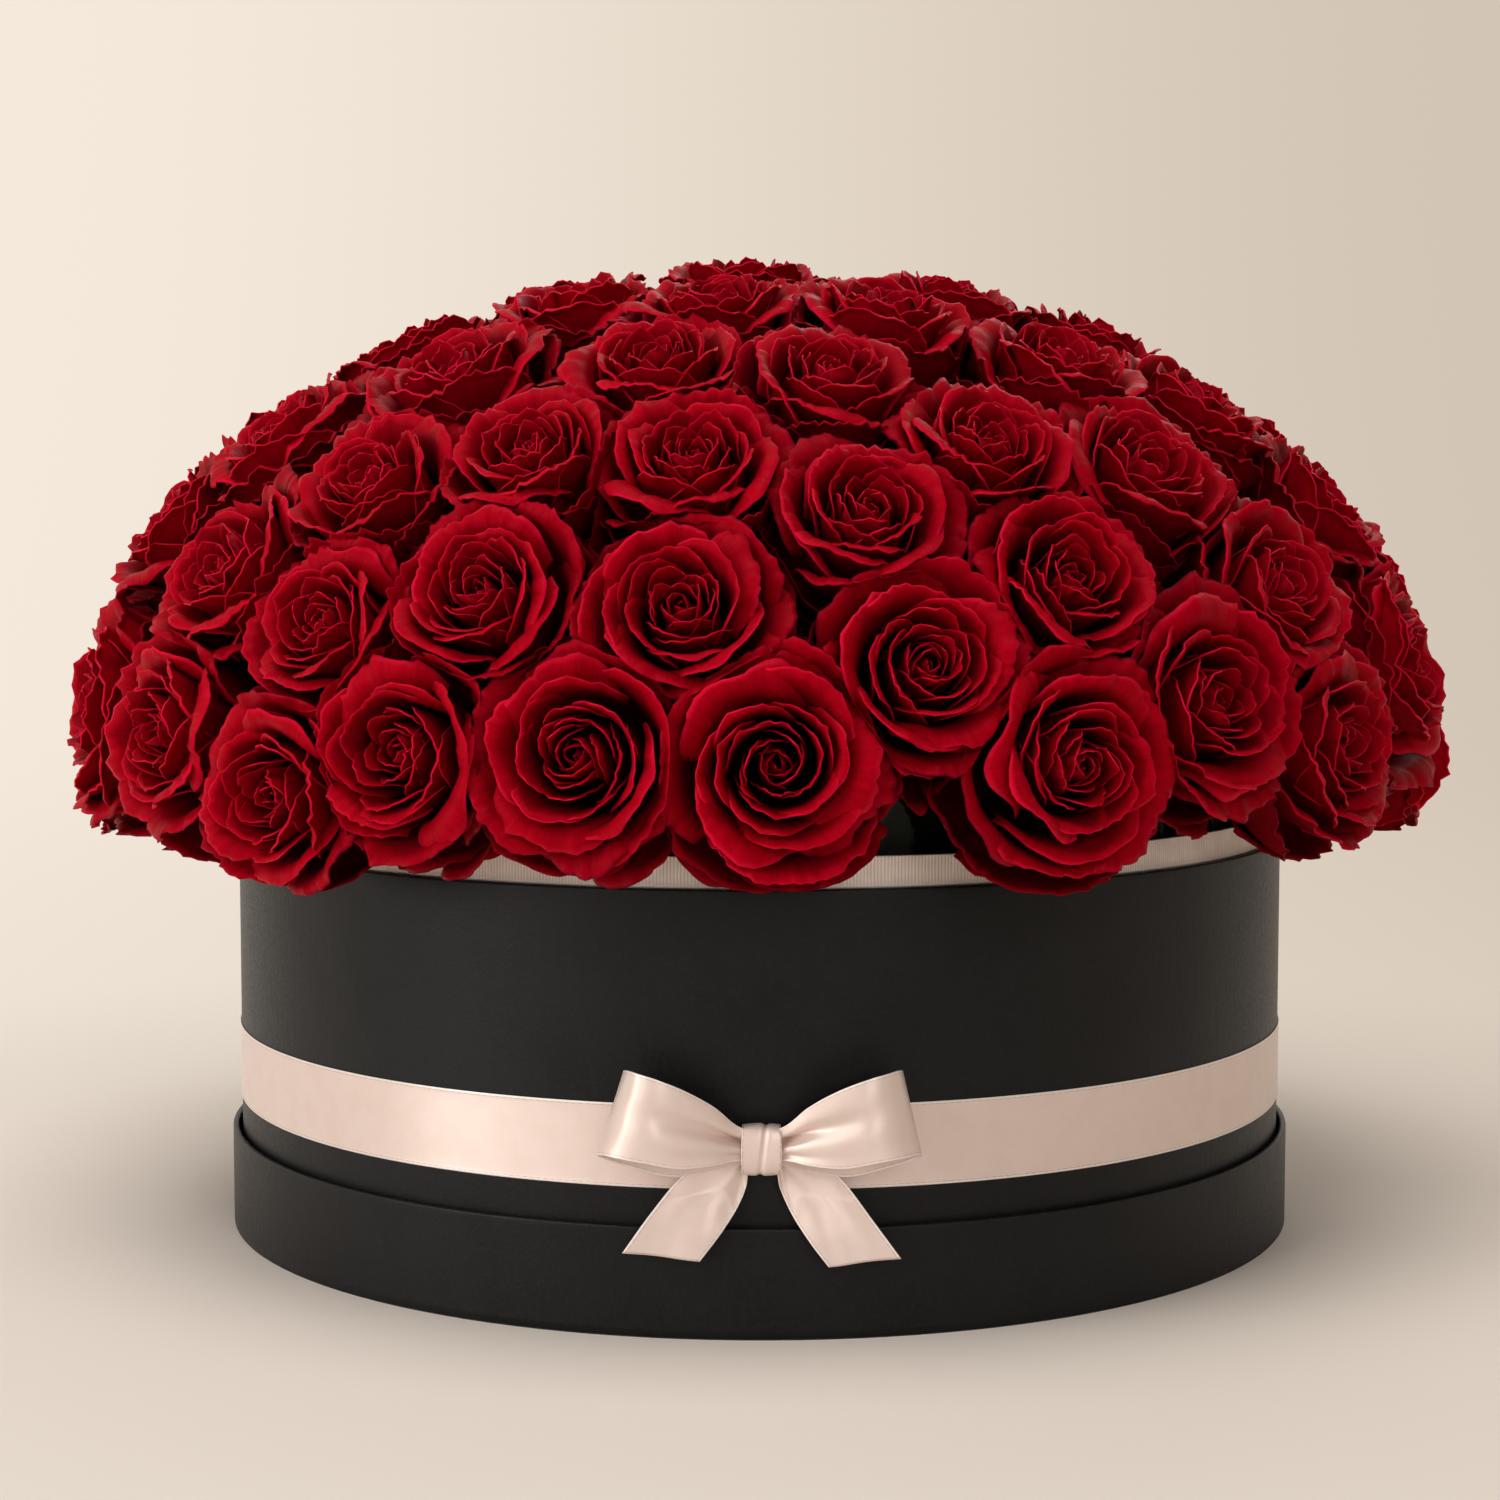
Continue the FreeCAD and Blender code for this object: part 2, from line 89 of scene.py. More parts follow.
# Distance from one weft line or stitch of the satin to the next, in millimetres
WEFT_PITCH = 0.45
STITCH_PITCH = 2.2


# Meshes

def shell(grid, thickness, closed=False):
    """Points and faces of a thin closed skin on a grid of points (rows, columns, 3); closed joins the last
    column to the first."""
    rows, columns = grid.shape[:2]
    down = np.gradient(grid, axis=0)
    if closed:
        across = np.roll(grid, -1, 1) - np.roll(grid, 1, 1)
    else:
        across = np.gradient(grid, axis=1)
    normal = np.cross(across, down)
    normal /= np.maximum(np.linalg.norm(normal, axis=2, keepdims=True), 1e-12)
    points = np.concatenate([grid + normal * thickness / 2, grid - normal * thickness / 2]).reshape(-1, 3)
    index = np.arange(rows * columns).reshape(rows, columns)
    if closed:
        index = np.hstack([index, index[:, :1]])
    under = rows * columns
    front = np.stack([index[:-1, :-1], index[1:, :-1], index[1:, 1:], index[:-1, 1:]], -1).reshape(-1, 4)
    back = front[:, ::-1] + under
    rims = [index[0, :], index[-1, ::-1]]
    if not closed:
        rims += [index[::-1, 0], index[:, -1]]
    sides = [np.stack([rim[:-1], rim[1:], rim[1:] + under, rim[:-1] + under], -1) for rim in rims]
    return points, np.vstack([front, back, *sides])


def joined(skins):
    """Points and faces of several skins as one mesh."""
    points, faces = zip(*skins)
    firsts = np.cumsum([0] + [len(skin) for skin in points])
    return np.vstack(points), np.vstack([quads + first for quads, first in zip(faces, firsts)])


def twice(values):
    """Per-point values of a grid for both faces of its skin."""
    flat = np.asarray(values, float).ravel()
    return np.concatenate([flat, flat])


def piece(name, points, faces, body, slot, values=None):
    """A smooth-shaded mesh in its slot's finish that rides on a body, with named values on its points."""
    mesh = bpy.data.meshes.new(name)
    mesh.from_pydata(points.tolist(), [], faces.tolist())
    for label, numbers in (values or {}).items():
        layer = mesh.attributes.new(label, "FLOAT", "POINT")
        layer.data.foreach_set("value", np.asarray(numbers, np.float32))
    mesh.polygons.foreach_set("use_smooth", [True] * len(mesh.polygons))
    mesh.materials.append(FINISHES[slot])
    made = bpy.data.objects.new(name, mesh)
    bpy.context.scene.collection.objects.link(made)
    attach(made, body)
    return made


def curve_through(stations, count):
    """Points on a smooth line through rows of numbers, a Catmull-Rom spline."""
    knots = np.asarray(stations, float)
    ends = np.vstack([2 * knots[0] - knots[1], knots, 2 * knots[-1] - knots[-2]])
    at = np.linspace(0, len(knots) - 1, count)
    span = np.minimum(at.astype(int), len(knots) - 2)
    t = (at - span)[:, None]
    a, b, c, d = (ends[span + k] for k in range(4))
    return 0.5 * (2 * b + (c - a) * t + (2 * a - 5 * b + 4 * c - d) * t**2 + (3 * b - a - 3 * c + d) * t**3)


def node_points(node):
    """The points of a CAD node."""
    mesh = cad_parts[node].data
    points = np.empty(3 * len(mesh.vertices))
    mesh.vertices.foreach_get("co", points)
    return points.reshape(-1, 3)


def islands(node):
    """The separate solids of a CAD node, each as an array of its points."""
    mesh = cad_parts[node].data
    points = node_points(node)
    welded = {}
    names = [welded.setdefault(tuple(p), len(welded)) for p in np.round(points, 6)]
    parent = list(range(len(welded)))

    def root(k):
        while parent[k] != k:
            parent[k] = parent[parent[k]]
            k = parent[k]
        return k

    for edge in mesh.edges:
        a, b = (root(names[v]) for v in edge.vertices)
        parent[a] = b
    groups = {}
    for point, name in zip(points, names):
        groups.setdefault(root(name), []).append(point)
    return [np.array(group) for group in groups.values()]


# Finishes

class Nodes:
    """A node tree in the making, with short calls that add and join nodes."""

    def __init__(self, tree):
        self.tree = tree

    def node(self, kind, **settings):
        made = self.tree.nodes.new("ShaderNode" + kind)
        for name, value in settings.items():
            setattr(made, name, value)
        return made

    def join(self, source, socket):
        """Joins a source, an output or a plain number or colour, to an input."""
        if isinstance(source, bpy.types.NodeSocket):
            self.tree.links.new(source, socket)
        else:
            socket.default_value = source

    def place(self, scale=(1, 1, 1)):
        """The point in metres, stretched by scale."""
        mapping = self.node("Mapping")
        self.join(self.node("TexCoord").outputs["Object"], mapping.inputs["Vector"])
        mapping.inputs["Scale"].default_value = scale
        return mapping.outputs["Vector"]

    def value(self, name):
        return self.node("Attribute", attribute_name=name).outputs["Fac"]

    def vector(self, x, y, z=0.0):
        made = self.node("CombineXYZ")
        for source, socket in zip((x, y, z), made.inputs):
            self.join(source, socket)
        return made.outputs["Vector"]

    def noise(self, scale, detail=3.0, vector=None, rough=0.55):
        made = self.node("TexNoise")
        self.join(vector or self.place(), made.inputs["Vector"])
        made.inputs["Scale"].default_value = scale
        made.inputs["Detail"].default_value = detail
        made.inputs["Roughness"].default_value = rough
        return made.outputs["Fac"]

    def math(self, operation, a, b=0.0):
        made = self.node("Math", operation=operation)
        self.join(a, made.inputs[0])
        self.join(b, made.inputs[1])
        return made.outputs[0]

    def spread(self, source, low, high, to_low=0.0, to_high=1.0):
        """A source from low to high, mapped smoothly to another range."""
        made = self.node("MapRange", interpolation_type="SMOOTHSTEP")
        for number, socket in zip((source, low, high, to_low, to_high), made.inputs):
            self.join(number, socket)
        return made.outputs["Result"]

    def mix(self, share, low, high):
        """A colour between two, each a colour or an output."""
        made = self.node("Mix", data_type="RGBA")
        self.join(share, made.inputs["Factor"])
        for source, socket in ((low, made.inputs[6]), (high, made.inputs[7])):
            self.join((*source, 1) if isinstance(source, tuple) else source, socket)
        return made.outputs[2]

    def seen(self):
        """1 on a ray that shows the surroundings, straight or mirrored, and 0 on one that gives light."""
        rays = self.node("LightPath").outputs
        either = self.math("MAXIMUM", rays["Is Camera Ray"], rays["Is Glossy Ray"])
        return self.math("MAXIMUM", either, rays["Is Transmission Ray"])

    def show(self, output, share, first, second):
        """Gives an output a mix of two shaders."""
        both = self.node("MixShader")
        for source, socket in zip((share, first, second), both.inputs):
            self.join(source, socket)
        self.join(both.outputs["Shader"], self.tree.nodes[output].inputs["Surface"])


class Finish(Nodes):
    """A material in the making, with its shader."""

    def __init__(self, name, colour, roughness, **constants):
        self.material = bpy.data.materials.new(name)
        self.material.use_nodes = True
        super().__init__(self.material.node_tree)
        self.shader = self.tree.nodes["Principled BSDF"]
        self.normal = None
        self.shader.inputs["Base Color"].default_value = (*colour, 1)
        self.shader.inputs["Roughness"].default_value = roughness
        for socket, value in constants.items():
            self.shader.inputs[socket.replace("_", " ")].default_value = value

    def colour(self, source):
        self.join(source, self.shader.inputs["Base Color"])

    def rough(self, source):
        self.join(source, self.shader.inputs["Roughness"])

    def bump(self, height, distance, strength=1.0):
        made = self.node("Bump")
        made.inputs["Strength"].default_value = strength
        made.inputs["Distance"].default_value = distance
        self.join(height, made.inputs["Height"])
        if self.normal:
            self.join(self.normal, made.inputs["Normal"])
        self.normal = made.outputs["Normal"]
        self.join(self.normal, self.shader.inputs["Normal"])


def paper_finish():
    """Matte black cover paper: soft mottling, fine fibres and a faint sheen."""
    finish = Finish("black_paper", (0.0062, 0.0062, 0.0066), 0.42, Specular_IOR_Level=0.17)
    dark, black, flecked = (0.0050, 0.0050, 0.0053), (0.0076, 0.0076, 0.0080), (0.0130, 0.0130, 0.0134)
    cloud = finish.noise(35, detail=4)
    grain = finish.noise(900, detail=5, rough=0.7)
    fibres = finish.noise(420, detail=3, vector=finish.place((1, 1, 0.22)))
    body = finish.mix(finish.spread(cloud, 0.3, 0.7), dark, black)
    finish.colour(finish.mix(finish.spread(grain, 0.48, 0.72, 0.0, 0.7), body, flecked))
    finish.rough(finish.spread(grain, 0.3, 0.7, 0.34, 0.48))
    finish.bump(grain, 0.12 * MM, strength=0.65)
    finish.bump(fibres, 0.14 * MM, strength=0.45)
    return finish.material


def board_finish():
    """Greyboard: pulp flecks on a soft grey."""
    finish = Finish("greyboard", (0.36, 0.34, 0.31), 0.85)
    dark, pale = (0.26, 0.245, 0.22), (0.42, 0.40, 0.365)
    flecks = finish.noise(700, detail=4, rough=0.75)
    finish.colour(finish.mix(finish.spread(flecks, 0.35, 0.7), dark, pale))
    finish.bump(flecks, 0.15 * MM, strength=0.5)
    return finish.material


def satin_finish():
    """Blush satin: a soft gloss, fine weft lines, and stitches beside a pale corded edge."""
    finish = Finish("satin", (0.82, 0.65, 0.575), 0.42, Specular_IOR_Level=1.0, Metallic=0.28,
                    Anisotropic=0.7, Anisotropic_Rotation=0.25)
    blush, light, clouded = (0.80, 0.635, 0.56), (0.84, 0.685, 0.61), (0.77, 0.59, 0.51)
    stitched, corded = (0.40, 0.25, 0.19), (0.92, 0.82, 0.76)
    round_the_box = finish.node("Tangent", direction_type="RADIAL", axis="Z")
    finish.join(round_the_box.outputs["Tangent"], finish.shader.inputs["Tangent"])
    along, across, edge = (finish.value(name) for name in ("along", "across", "edge"))
    weft = finish.math("SINE", finish.math("MULTIPLY", along, 2 * math.pi / WEFT_PITCH))
    thread = finish.vector(finish.math("MULTIPLY", along, 0.06), finish.math("MULTIPLY", across, 2.4))
    slub = finish.noise(1.0, detail=2, vector=thread)
    cloud = finish.noise(0.12, detail=2, vector=finish.vector(along, across))
    body = finish.mix(slub, blush, light)
    body = finish.mix(finish.spread(cloud, 0.4, 0.65, 0.0, 0.35), body, clouded)
    dash = finish.math("SINE", finish.math("MULTIPLY", along, 2 * math.pi / STITCH_PITCH))
    stitch = finish.spread(dash, -0.6, 0.2, 0.3, 0.75)
    inside = finish.math("MULTIPLY", finish.spread(edge, 0.12, 0.3), finish.spread(edge, 0.6, 0.42))
    body = finish.mix(finish.math("MULTIPLY", stitch, inside), body, stitched)
    finish.colour(finish.mix(finish.spread(edge, 0.5, 0.8), body, corded))
    finish.rough(finish.spread(slub, 0.3, 0.7, 0.38, 0.46))
    finish.bump(weft, 0.015 * MM, strength=0.08)
    finish.bump(cloud, 0.25 * MM, strength=0.25)
    return finish.material


def grosgrain_finish():
    """Beige ribbed ribbon: painted shade darker between the ribs, with a pale thread along its lower edge."""
    finish = Finish("grosgrain", (0.50, 0.36, 0.28), 0.6, Sheen_Weight=0.2, Sheen_Roughness=0.4)
    # valley is the colour of the painted shade between the ribs; shade is a darker tone for the random
    # mottling
    valley, shade = (0.48, 0.36, 0.29), (0.70, 0.57, 0.48)
    beige, thread = (0.93, 0.80, 0.71), (0.88, 0.78, 0.68)
    rib, edge = finish.value("rib"), finish.value("edge")
    # painted shade: darker in the valleys between the ribs
    ribbed = finish.mix(rib, valley, beige)
    cloud = finish.noise(160, detail=3)
    mottled = finish.mix(finish.spread(cloud, 0.3, 0.7), shade, beige)
    body = finish.mix(0.35, ribbed, mottled)
    finish.colour(finish.mix(edge, body, thread))
    finish.bump(finish.noise(2400, detail=2), 0.05 * MM, strength=0.4)
    return finish.material


def petal_finish():
    """Red rose petal: painted shade darkening it towards its foot, a painted highlight along its lip, with
    fine veins and a velvet sheen.
    """
    finish = Finish("petal", (0.37, 0.0, 0.008), 0.44, Specular_IOR_Level=0.10,
                    Specular_Tint=(1.0, 0.10, 0.16, 1))
    # deep is painted shade at the foot of a petal, and lip is the colour of a painted highlight along its
    # edge
    deep, full, lip = (0.040, 0.0, 0.0015), (0.42, 0.0, 0.0080), (0.74, 0.006, 0.039)
    outermost, veined, flushed = (0.108, 0.0, 0.0027), (0.117, 0.0, 0.0027), (0.48, 0.0005, 0.012)
    dull, dried = (0.235, 0.0, 0.0055), (0.085, 0.0, 0.004)
    along, across, layer, tone = (finish.value(name) for name in ("along", "across", "layer", "tone"))
    fan = finish.vector(finish.math("MULTIPLY", across, 9.0), finish.math("MULTIPLY", along, 1.2),
                        finish.math("MULTIPLY", layer, 61.0))
    veins = finish.noise(3.2, detail=4, vector=fan, rough=0.6)
    cloud = finish.noise(130, detail=3)
    # painted shade: dark at the foot of each petal, deep in the bloom, rising to its full colour towards the
    # lip
    body = finish.mix(finish.spread(along, 0.48, 1.02), deep, full)
    body = finish.mix(finish.spread(layer, 0.66, 0.95, 0.0, 0.62), body, outermost)
    body = finish.mix(finish.spread(veins, 0.42, 0.62, 0.0, 0.24), body, veined)
    body = finish.mix(finish.spread(cloud, 0.35, 0.75, 0.0, 0.18), body, flushed)
    body = finish.mix(finish.math("MULTIPLY", tone, 0.25), body, dull)
    # painted highlight along the lip, as on thin edges that catch the light: strongest on the inner petals,
    # in patches
    inner = finish.spread(layer, 0.95, 0.5, 0.25, 0.9)
    lip_highlight = finish.math("MULTIPLY", finish.spread(along, 0.955, 1.0), inner)
    highlight_patches = finish.noise(70, detail=2)
    lip_highlight = finish.math("MULTIPLY", lip_highlight, finish.spread(highlight_patches, 0.36, 0.62, 0.3, 1.0))
    body = finish.mix(lip_highlight, body, lip)
    outer = finish.spread(layer, 0.72, 0.85, 0.0, 0.7)
    worn = finish.math("MULTIPLY", finish.spread(along, 0.965, 1.0), outer)
    finish.colour(finish.mix(worn, body, dried))
    finish.rough(finish.spread(veins, 0.3, 0.7, 0.42, 0.55))
    finish.bump(veins, 0.35 * MM, strength=0.35)
    finish.bump(finish.noise(1500, detail=3), 0.05 * MM, strength=0.3)
    return finish.material


def green_finish():
    """Rose stem and sepal: dark green, with paler flecks and a fine grain."""
    finish = Finish("stem_green", (0.022, 0.036, 0.012), 0.55, Specular_IOR_Level=0.25)
    dark, pale = (0.012, 0.022, 0.007), (0.034, 0.050, 0.018)
    flecks = finish.noise(260, detail=4)
    finish.colour(finish.mix(finish.spread(flecks, 0.35, 0.7), dark, pale))
    finish.rough(finish.spread(flecks, 0.3, 0.7, 0.42, 0.62))
    finish.bump(finish.noise(900, detail=3), 0.1 * MM, strength=0.5)
    return finish.material


def leaf_finish():
    """Dark rose leaf: paler midrib and side veins, a waxy surface."""
    finish = Finish("leaf", (0.008, 0.012, 0.008), 0.5, Specular_IOR_Level=0.12)
    dark, green, veined = (0.004, 0.006, 0.004), (0.009, 0.013, 0.008), (0.024, 0.032, 0.020)
    vein = finish.value("vein")
    cloud = finish.noise(120, detail=4)
    body = finish.mix(finish.spread(cloud, 0.3, 0.7), dark, green)
    finish.colour(finish.mix(finish.math("MULTIPLY", vein, 0.5), body, veined))
    finish.rough(finish.spread(cloud, 0.3, 0.7, 0.36, 0.52))
    finish.bump(vein, 0.25 * MM, strength=0.6)
    finish.bump(finish.noise(1100, detail=3), 0.08 * MM, strength=0.5)
    return finish.material


def foam_finish():
    """Floral foam: a crumbly dark green surface full of pores, darkened to near black as painted shade where
    it shows between the roses.
    """
    # the foam's own dark green, painted darker still as shade for the gaps between the roses
    finish = Finish("floral_foam", (0.012, 0.022, 0.014), 0.95, Specular_IOR_Level=0.15)
    dark, green = (0.006, 0.011, 0.007), (0.020, 0.034, 0.022)
    pores = finish.noise(1300, detail=4, rough=0.8)
    finish.colour(finish.mix(finish.spread(pores, 0.35, 0.65), dark, green))
    finish.bump(pores, 0.5 * MM, strength=0.8)
    return finish.material


def film_finish():
    """Liner: black plastic film with soft creases."""
    finish = Finish("liner_film", (0.012, 0.012, 0.013), 0.25)
    dark, black = (0.008, 0.008, 0.009), (0.018, 0.018, 0.019)
    creases = finish.noise(60, detail=4, vector=finish.place((1, 1, 0.3)))
    finish.colour(finish.mix(creases, dark, black))
    finish.rough(finish.spread(creases, 0.3, 0.7, 0.18, 0.34))
    finish.bump(creases, 1.2 * MM, strength=0.5)
    return finish.material


def glue_finish():
    """Hot-melt glue: milky, a little uneven."""
    finish = Finish("glue_pad", (0.62, 0.58, 0.50), 0.4)
    cloudy, milky = (0.55, 0.51, 0.44), (0.70, 0.66, 0.58)
    lumps = finish.noise(300, detail=3)
    finish.colour(finish.mix(lumps, cloudy, milky))
    finish.bump(lumps, 0.2 * MM, strength=0.5)
    return finish.material


FINISHES = {
    "black_paper": paper_finish(),
    "greyboard": board_finish(),
    "satin": satin_finish(),
    "grosgrain": grosgrain_finish(),
    "petal": petal_finish(),
    "stem_green": green_finish(),
    "leaf": leaf_finish(),
    "floral_foam": foam_finish(),
    "liner_film": film_finish(),
    "glue_pad": glue_finish(),
}


def dress_cad_nodes():
    """Every CAD node gets the finish that its record slot names."""
    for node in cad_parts.values():
        for held in node.material_slots:
            held.material = FINISHES[held.material.name]


# Paper covers

def turned_grid(profile, lap_start):
    """Grid of a profile of (radius, height) turned about Z, with a lapped seam at the back."""
    profile = np.asarray(profile)
    turn = np.linspace(0, 2 * math.pi, ROUND_STEPS, endpoint=False) - math.pi / 2
    radius = profile[:, :1] + np.zeros((1, ROUND_STEPS))
    behind = (turn - math.pi / 2) * profile[:, 0].max()
    lap = np.clip(1 - behind / SEAM_LAP, 0, 1) * (behind >= 0) * PAPER
    lap = np.where(np.arange(len(profile))[:, None] >= lap_start, lap[None, :], 0)
    radius = radius + lap
    height = profile[:, 1:] + np.zeros((1, ROUND_STEPS))
    return np.stack([radius * np.cos(turn), radius * np.sin(turn), height], -1)


def rounded_rim(inner, outer, top):
    """Profile points over the edge of a wall, from its inside to its outside."""
    steps = [(EDGE_ROUND * (1 - math.cos(a)), EDGE_ROUND * (1 - math.sin(a))) for a in RIM_ANGLES]
    inside = [(inner + by_cos, top - by_sin) for by_cos, by_sin in steps]
    outside = [(outer - by_sin, top - by_cos) for by_cos, by_sin in steps]
    return inside + outside


def paper_cover(node, name, board, body):
    """Cover paper over the edge of a round wall, with rounded edges."""
    low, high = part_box(node)
    half = PAPER / 2
    outer, top = high.x - half, high.z - half
    inner = high.x - board - 2 * PAPER + half
    rim = rounded_rim(inner, outer, top)
    turned_in = [(inner, top - TURN_IN), (inner, top - RIM_FALL)]
    fall = [(outer, z) for z in np.linspace(top - RIM_FALL, low.z + half, FALL_ROWS)]
    lap_start = len(turned_in) + len(rim) // 2
    points, faces = shell(turned_grid(turned_in + rim + fall, lap_start), PAPER, closed=True)
    cover = piece(name, points, faces, body, "black_paper")
    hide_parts(node)


# Ribbons round the box

def ribbon_values(across, along, width):
    """Per-point values of a ribbon: place across and along it in millimetres, and closeness to an edge."""
    edge = np.clip(1 - (width / 2 - np.abs(across)) / SELVEDGE, 0, 1) ** 0.5
    return {"across": twice(across / MM), "along": twice(along / MM), "edge": twice(edge)}


def selvedge_lift(across, width):
    """The corded edge stands a little proud of the ribbon."""
    from_edge = width / 2 - np.abs(across)
    return SELVEDGE_BEAD * np.exp(-((from_edge - SELVEDGE / 2) / (SELVEDGE / 2)) ** 2)


def ribbon_rows(width, count, scale=1 / MM):
    """Places across a ribbon, close together along its edges; scale is millimetres in one unit of width."""
    edge = np.array(SELVEDGE_STOPS) / scale
    inner = np.linspace(edge[-1] - width / 2, width / 2 - edge[-1], count)
    return np.concatenate([edge[:-1] - width / 2, inner, (width / 2 - edge[:-1])[::-1]])


def ribbon_band():
    """Satin ribbon round the wall, pulled smooth, and gathered in at the front behind the knot."""
    low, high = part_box("ribbon_band")
    width = high.z - low.z
    across = ribbon_rows(width, BAND_ROWS)[:, None]
    turn = np.linspace(-math.pi, math.pi, BAND_STEPS, endpoint=False)
    free = np.clip((np.abs(turn * high.x) - GATHER_FROM) / (GATHER_TO - GATHER_FROM), 0, 1)
    free = free**2 * (3 - 2 * free)
    gather = GATHER_DEPTH * (1 - free) * np.cos(GATHER_PLEATS * math.pi * across / width) ** 2
    radius = high.x - RIBBON_THICKNESS / 2 + selvedge_lift(across, width) + gather
    height = (low.z + high.z) / 2 + across * (GATHER_WIDTH + (1 - GATHER_WIDTH) * free)
    grid = np.stack([radius * np.sin(turn), -radius * np.cos(turn), height], -1)
    points, faces = shell(grid, RIBBON_THICKNESS, closed=True)
    along = turn * high.x + np.zeros_like(radius)
    values = ribbon_values(across + np.zeros_like(radius), along, width)
    band = piece("satin_band", points, faces, "box", "satin", values)
    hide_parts("ribbon_band")


def neck_ribbon():
    """Ribbed ribbon on the neck: upright ribs and a thread along the lower edge."""
    low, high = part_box("neck_ribbon")
    ribs = round(2 * math.pi * high.x / NECK_RIB_PITCH)
    turn = np.linspace(0, 2 * math.pi, NECK_STEPS_PER_RIB * ribs, endpoint=False)
    wave = 0.5 + 0.5 * np.cos(turn * ribs)
    height = low.z + NECK_ROW_HEIGHTS
    thread = np.exp(-((height - low.z - NECK_THREAD_HEIGHT) / NECK_THREAD_HALF) ** 2)[:, None]
    valley = NECK_RIB_DEPTH * (1 - wave[None, :]) * (1 - thread)
    radius = high.x - NECK_RIBBON_THICKNESS / 2 - valley + NECK_THREAD_BEAD * thread
    grid = np.stack([radius * np.cos(turn), radius * np.sin(turn), height[:, None] + 0 * radius], -1)
    points, faces = shell(grid, NECK_RIBBON_THICKNESS, closed=True)
    values = {"rib": twice(wave[None, :] + 0 * radius), "edge": twice(thread + 0 * radius)}
    ribbon = piece("ribbed_neck_ribbon", points, faces, "box", "grosgrain", values)
    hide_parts("neck_ribbon")


# Bow: across, depth out from the front of the ribbon, and height from the middle of the knot, in millimetres.
# A pair of numbers for grown() is a start and how much it grows

BOW_WIDTH = 24.0
BOW_STRIP = 0.35
BOW_ROWS = 31
BOW_COLUMNS = 110
# A loop from the back of the knot round its fold to the front: across, depth, middle height, half height
LOOP_STATIONS = (
    (0.8, 3.5, 0.2, 4.4), (7.0, 3.3, 0.8, 5.2), (22.0, 3.1, 3.4, 11.0), (34.0, 3.6, 7.2, 11.9),
    (41.6, 6.2, 10.8, 12.0), (41.2, 10.4, 12.2, 12.0), (37.0, 14.4, 12.0, 11.9), (30.5, 15.9, 10.8, 11.7),
    (22.0, 14.4, 8.2, 11.0), (13.5, 11.6, 5.8, 8.4), (7.0, 8.4, 3.2, 5.1), (0.8, 6.4, 1.2, 4.4),
)
LOOP_LEAN = {"left": 0.31, "right": 0.23}
# Folds that run out of the knot over a loop's front: place across the strip, half width, depth
LOOP_FOLDS = ((0.10, 0.26, 4.6), (-0.72, 0.20, 1.0))
LOOP_FOLD_FADE = 15.0
LOOP_FOLD_FROM = 7.0
LOOP_FOLD_LEAST = 0.3
LOOP_FOLD_SPREAD = (0.7, 0.6)
LOOP_FRONT_FROM = 0.5
LOOP_FRONT_BLEND = 0.15
LOOP_CUP = 1.3
LOOP_CUP_BACK = 0.2
# A tail's outer and inner edges from the knot to the cut: across and height
TAIL_EDGES = {
    "left": (((0.8, 3.4), (6.2, 3.0), (14.0, -0.6), (23.0, -7.8), (31.6, -18.0), (39.2, -28.6)),
             ((0.8, -3.4), (3.6, -5.4), (4.4, -10.8), (6.8, -16.4), (11.4, -23.2), (17.4, -31.0))),
    "right": (((0.8, 3.4), (6.2, 3.0), (14.0, -1.2), (22.8, -8.4), (31.4, -19.4), (39.4, -30.2)),
              ((0.8, -3.4), (4.2, -5.4), (5.4, -11.2), (8.6, -18.2), (13.6, -25.6), (19.0, -32.6))),
}
TAIL_DEPTHS = ((2.05,), (2.05,), (2.1,), (3.4,), (5.2,), (5.4,))
TAIL_WIDTH = 19.0
TAIL_COLUMNS = 60
# Pleats on a tail's inner side, near the knot: they rise over a share of its length, then fade
TAIL_PLEATS = 0.8
TAIL_PLEAT_DEPTH = 2.2
TAIL_PLEAT_LEAST = 0.25
TAIL_PLEAT_RISE = 0.2
TAIL_PLEAT_END = 0.3
TAIL_PLEAT_FADE = 0.22
TAIL_PLEAT_SLANT = 0.35
TAIL_PLEAT_SIDE = (1.2, -1.7)
# The soft wave towards a tail's cut
TAIL_WAVE_DEPTH = 1.2
TAIL_WAVE_FROM = 0.3
TAIL_WAVE_BLEND = 0.4
TAIL_WAVE_SLANT = 0.8
TAIL_WAVE_SHIFT = 0.4
KNOT_ROUND_STEPS = 64
KNOT_ROWS = 33
KNOT_SQUARENESS = 2.8
KNOT_TALL = 1.14
KNOT_RAISE = 0.8
KNOT_WAIST = 0.06
KNOT_TAPER = 0.06
KNOT_CREASE = 0.55
KNOT_CREASE_HALF = 0.15
KNOT_CREASE_LEAN = 0.16


def grown(start_and_growth, share):
    """A number that grows from a start with a share."""
    start, growth = start_and_growth
    return start + growth * share


def bow_place(across, depth, height):
    """Points in the frame from bow measures in millimetres."""
    band_low, band_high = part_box("ribbon_band")
    middle = (band_low.z + band_high.z) / 2
    return np.stack([across * MM, -band_high.x - depth * MM, middle + height * MM], -1)


def strip_piece(name, grid, node, width):
    """A satin strip over a grid whose rows lie across it and columns along it."""
    steps = np.linalg.norm(np.diff(grid, axis=1), axis=2).mean(0)
    along = np.concatenate([[0], np.cumsum(steps)])[None, :] + np.zeros(grid.shape[:2])
    across = ribbon_rows(width * MM, BOW_ROWS)[:, None] + np.zeros(grid.shape[:2])
    points, faces = shell(grid, BOW_STRIP * MM)
    made = piece(name, points, faces, "box", "satin", ribbon_values(across, along, width * MM))
    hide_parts(node)


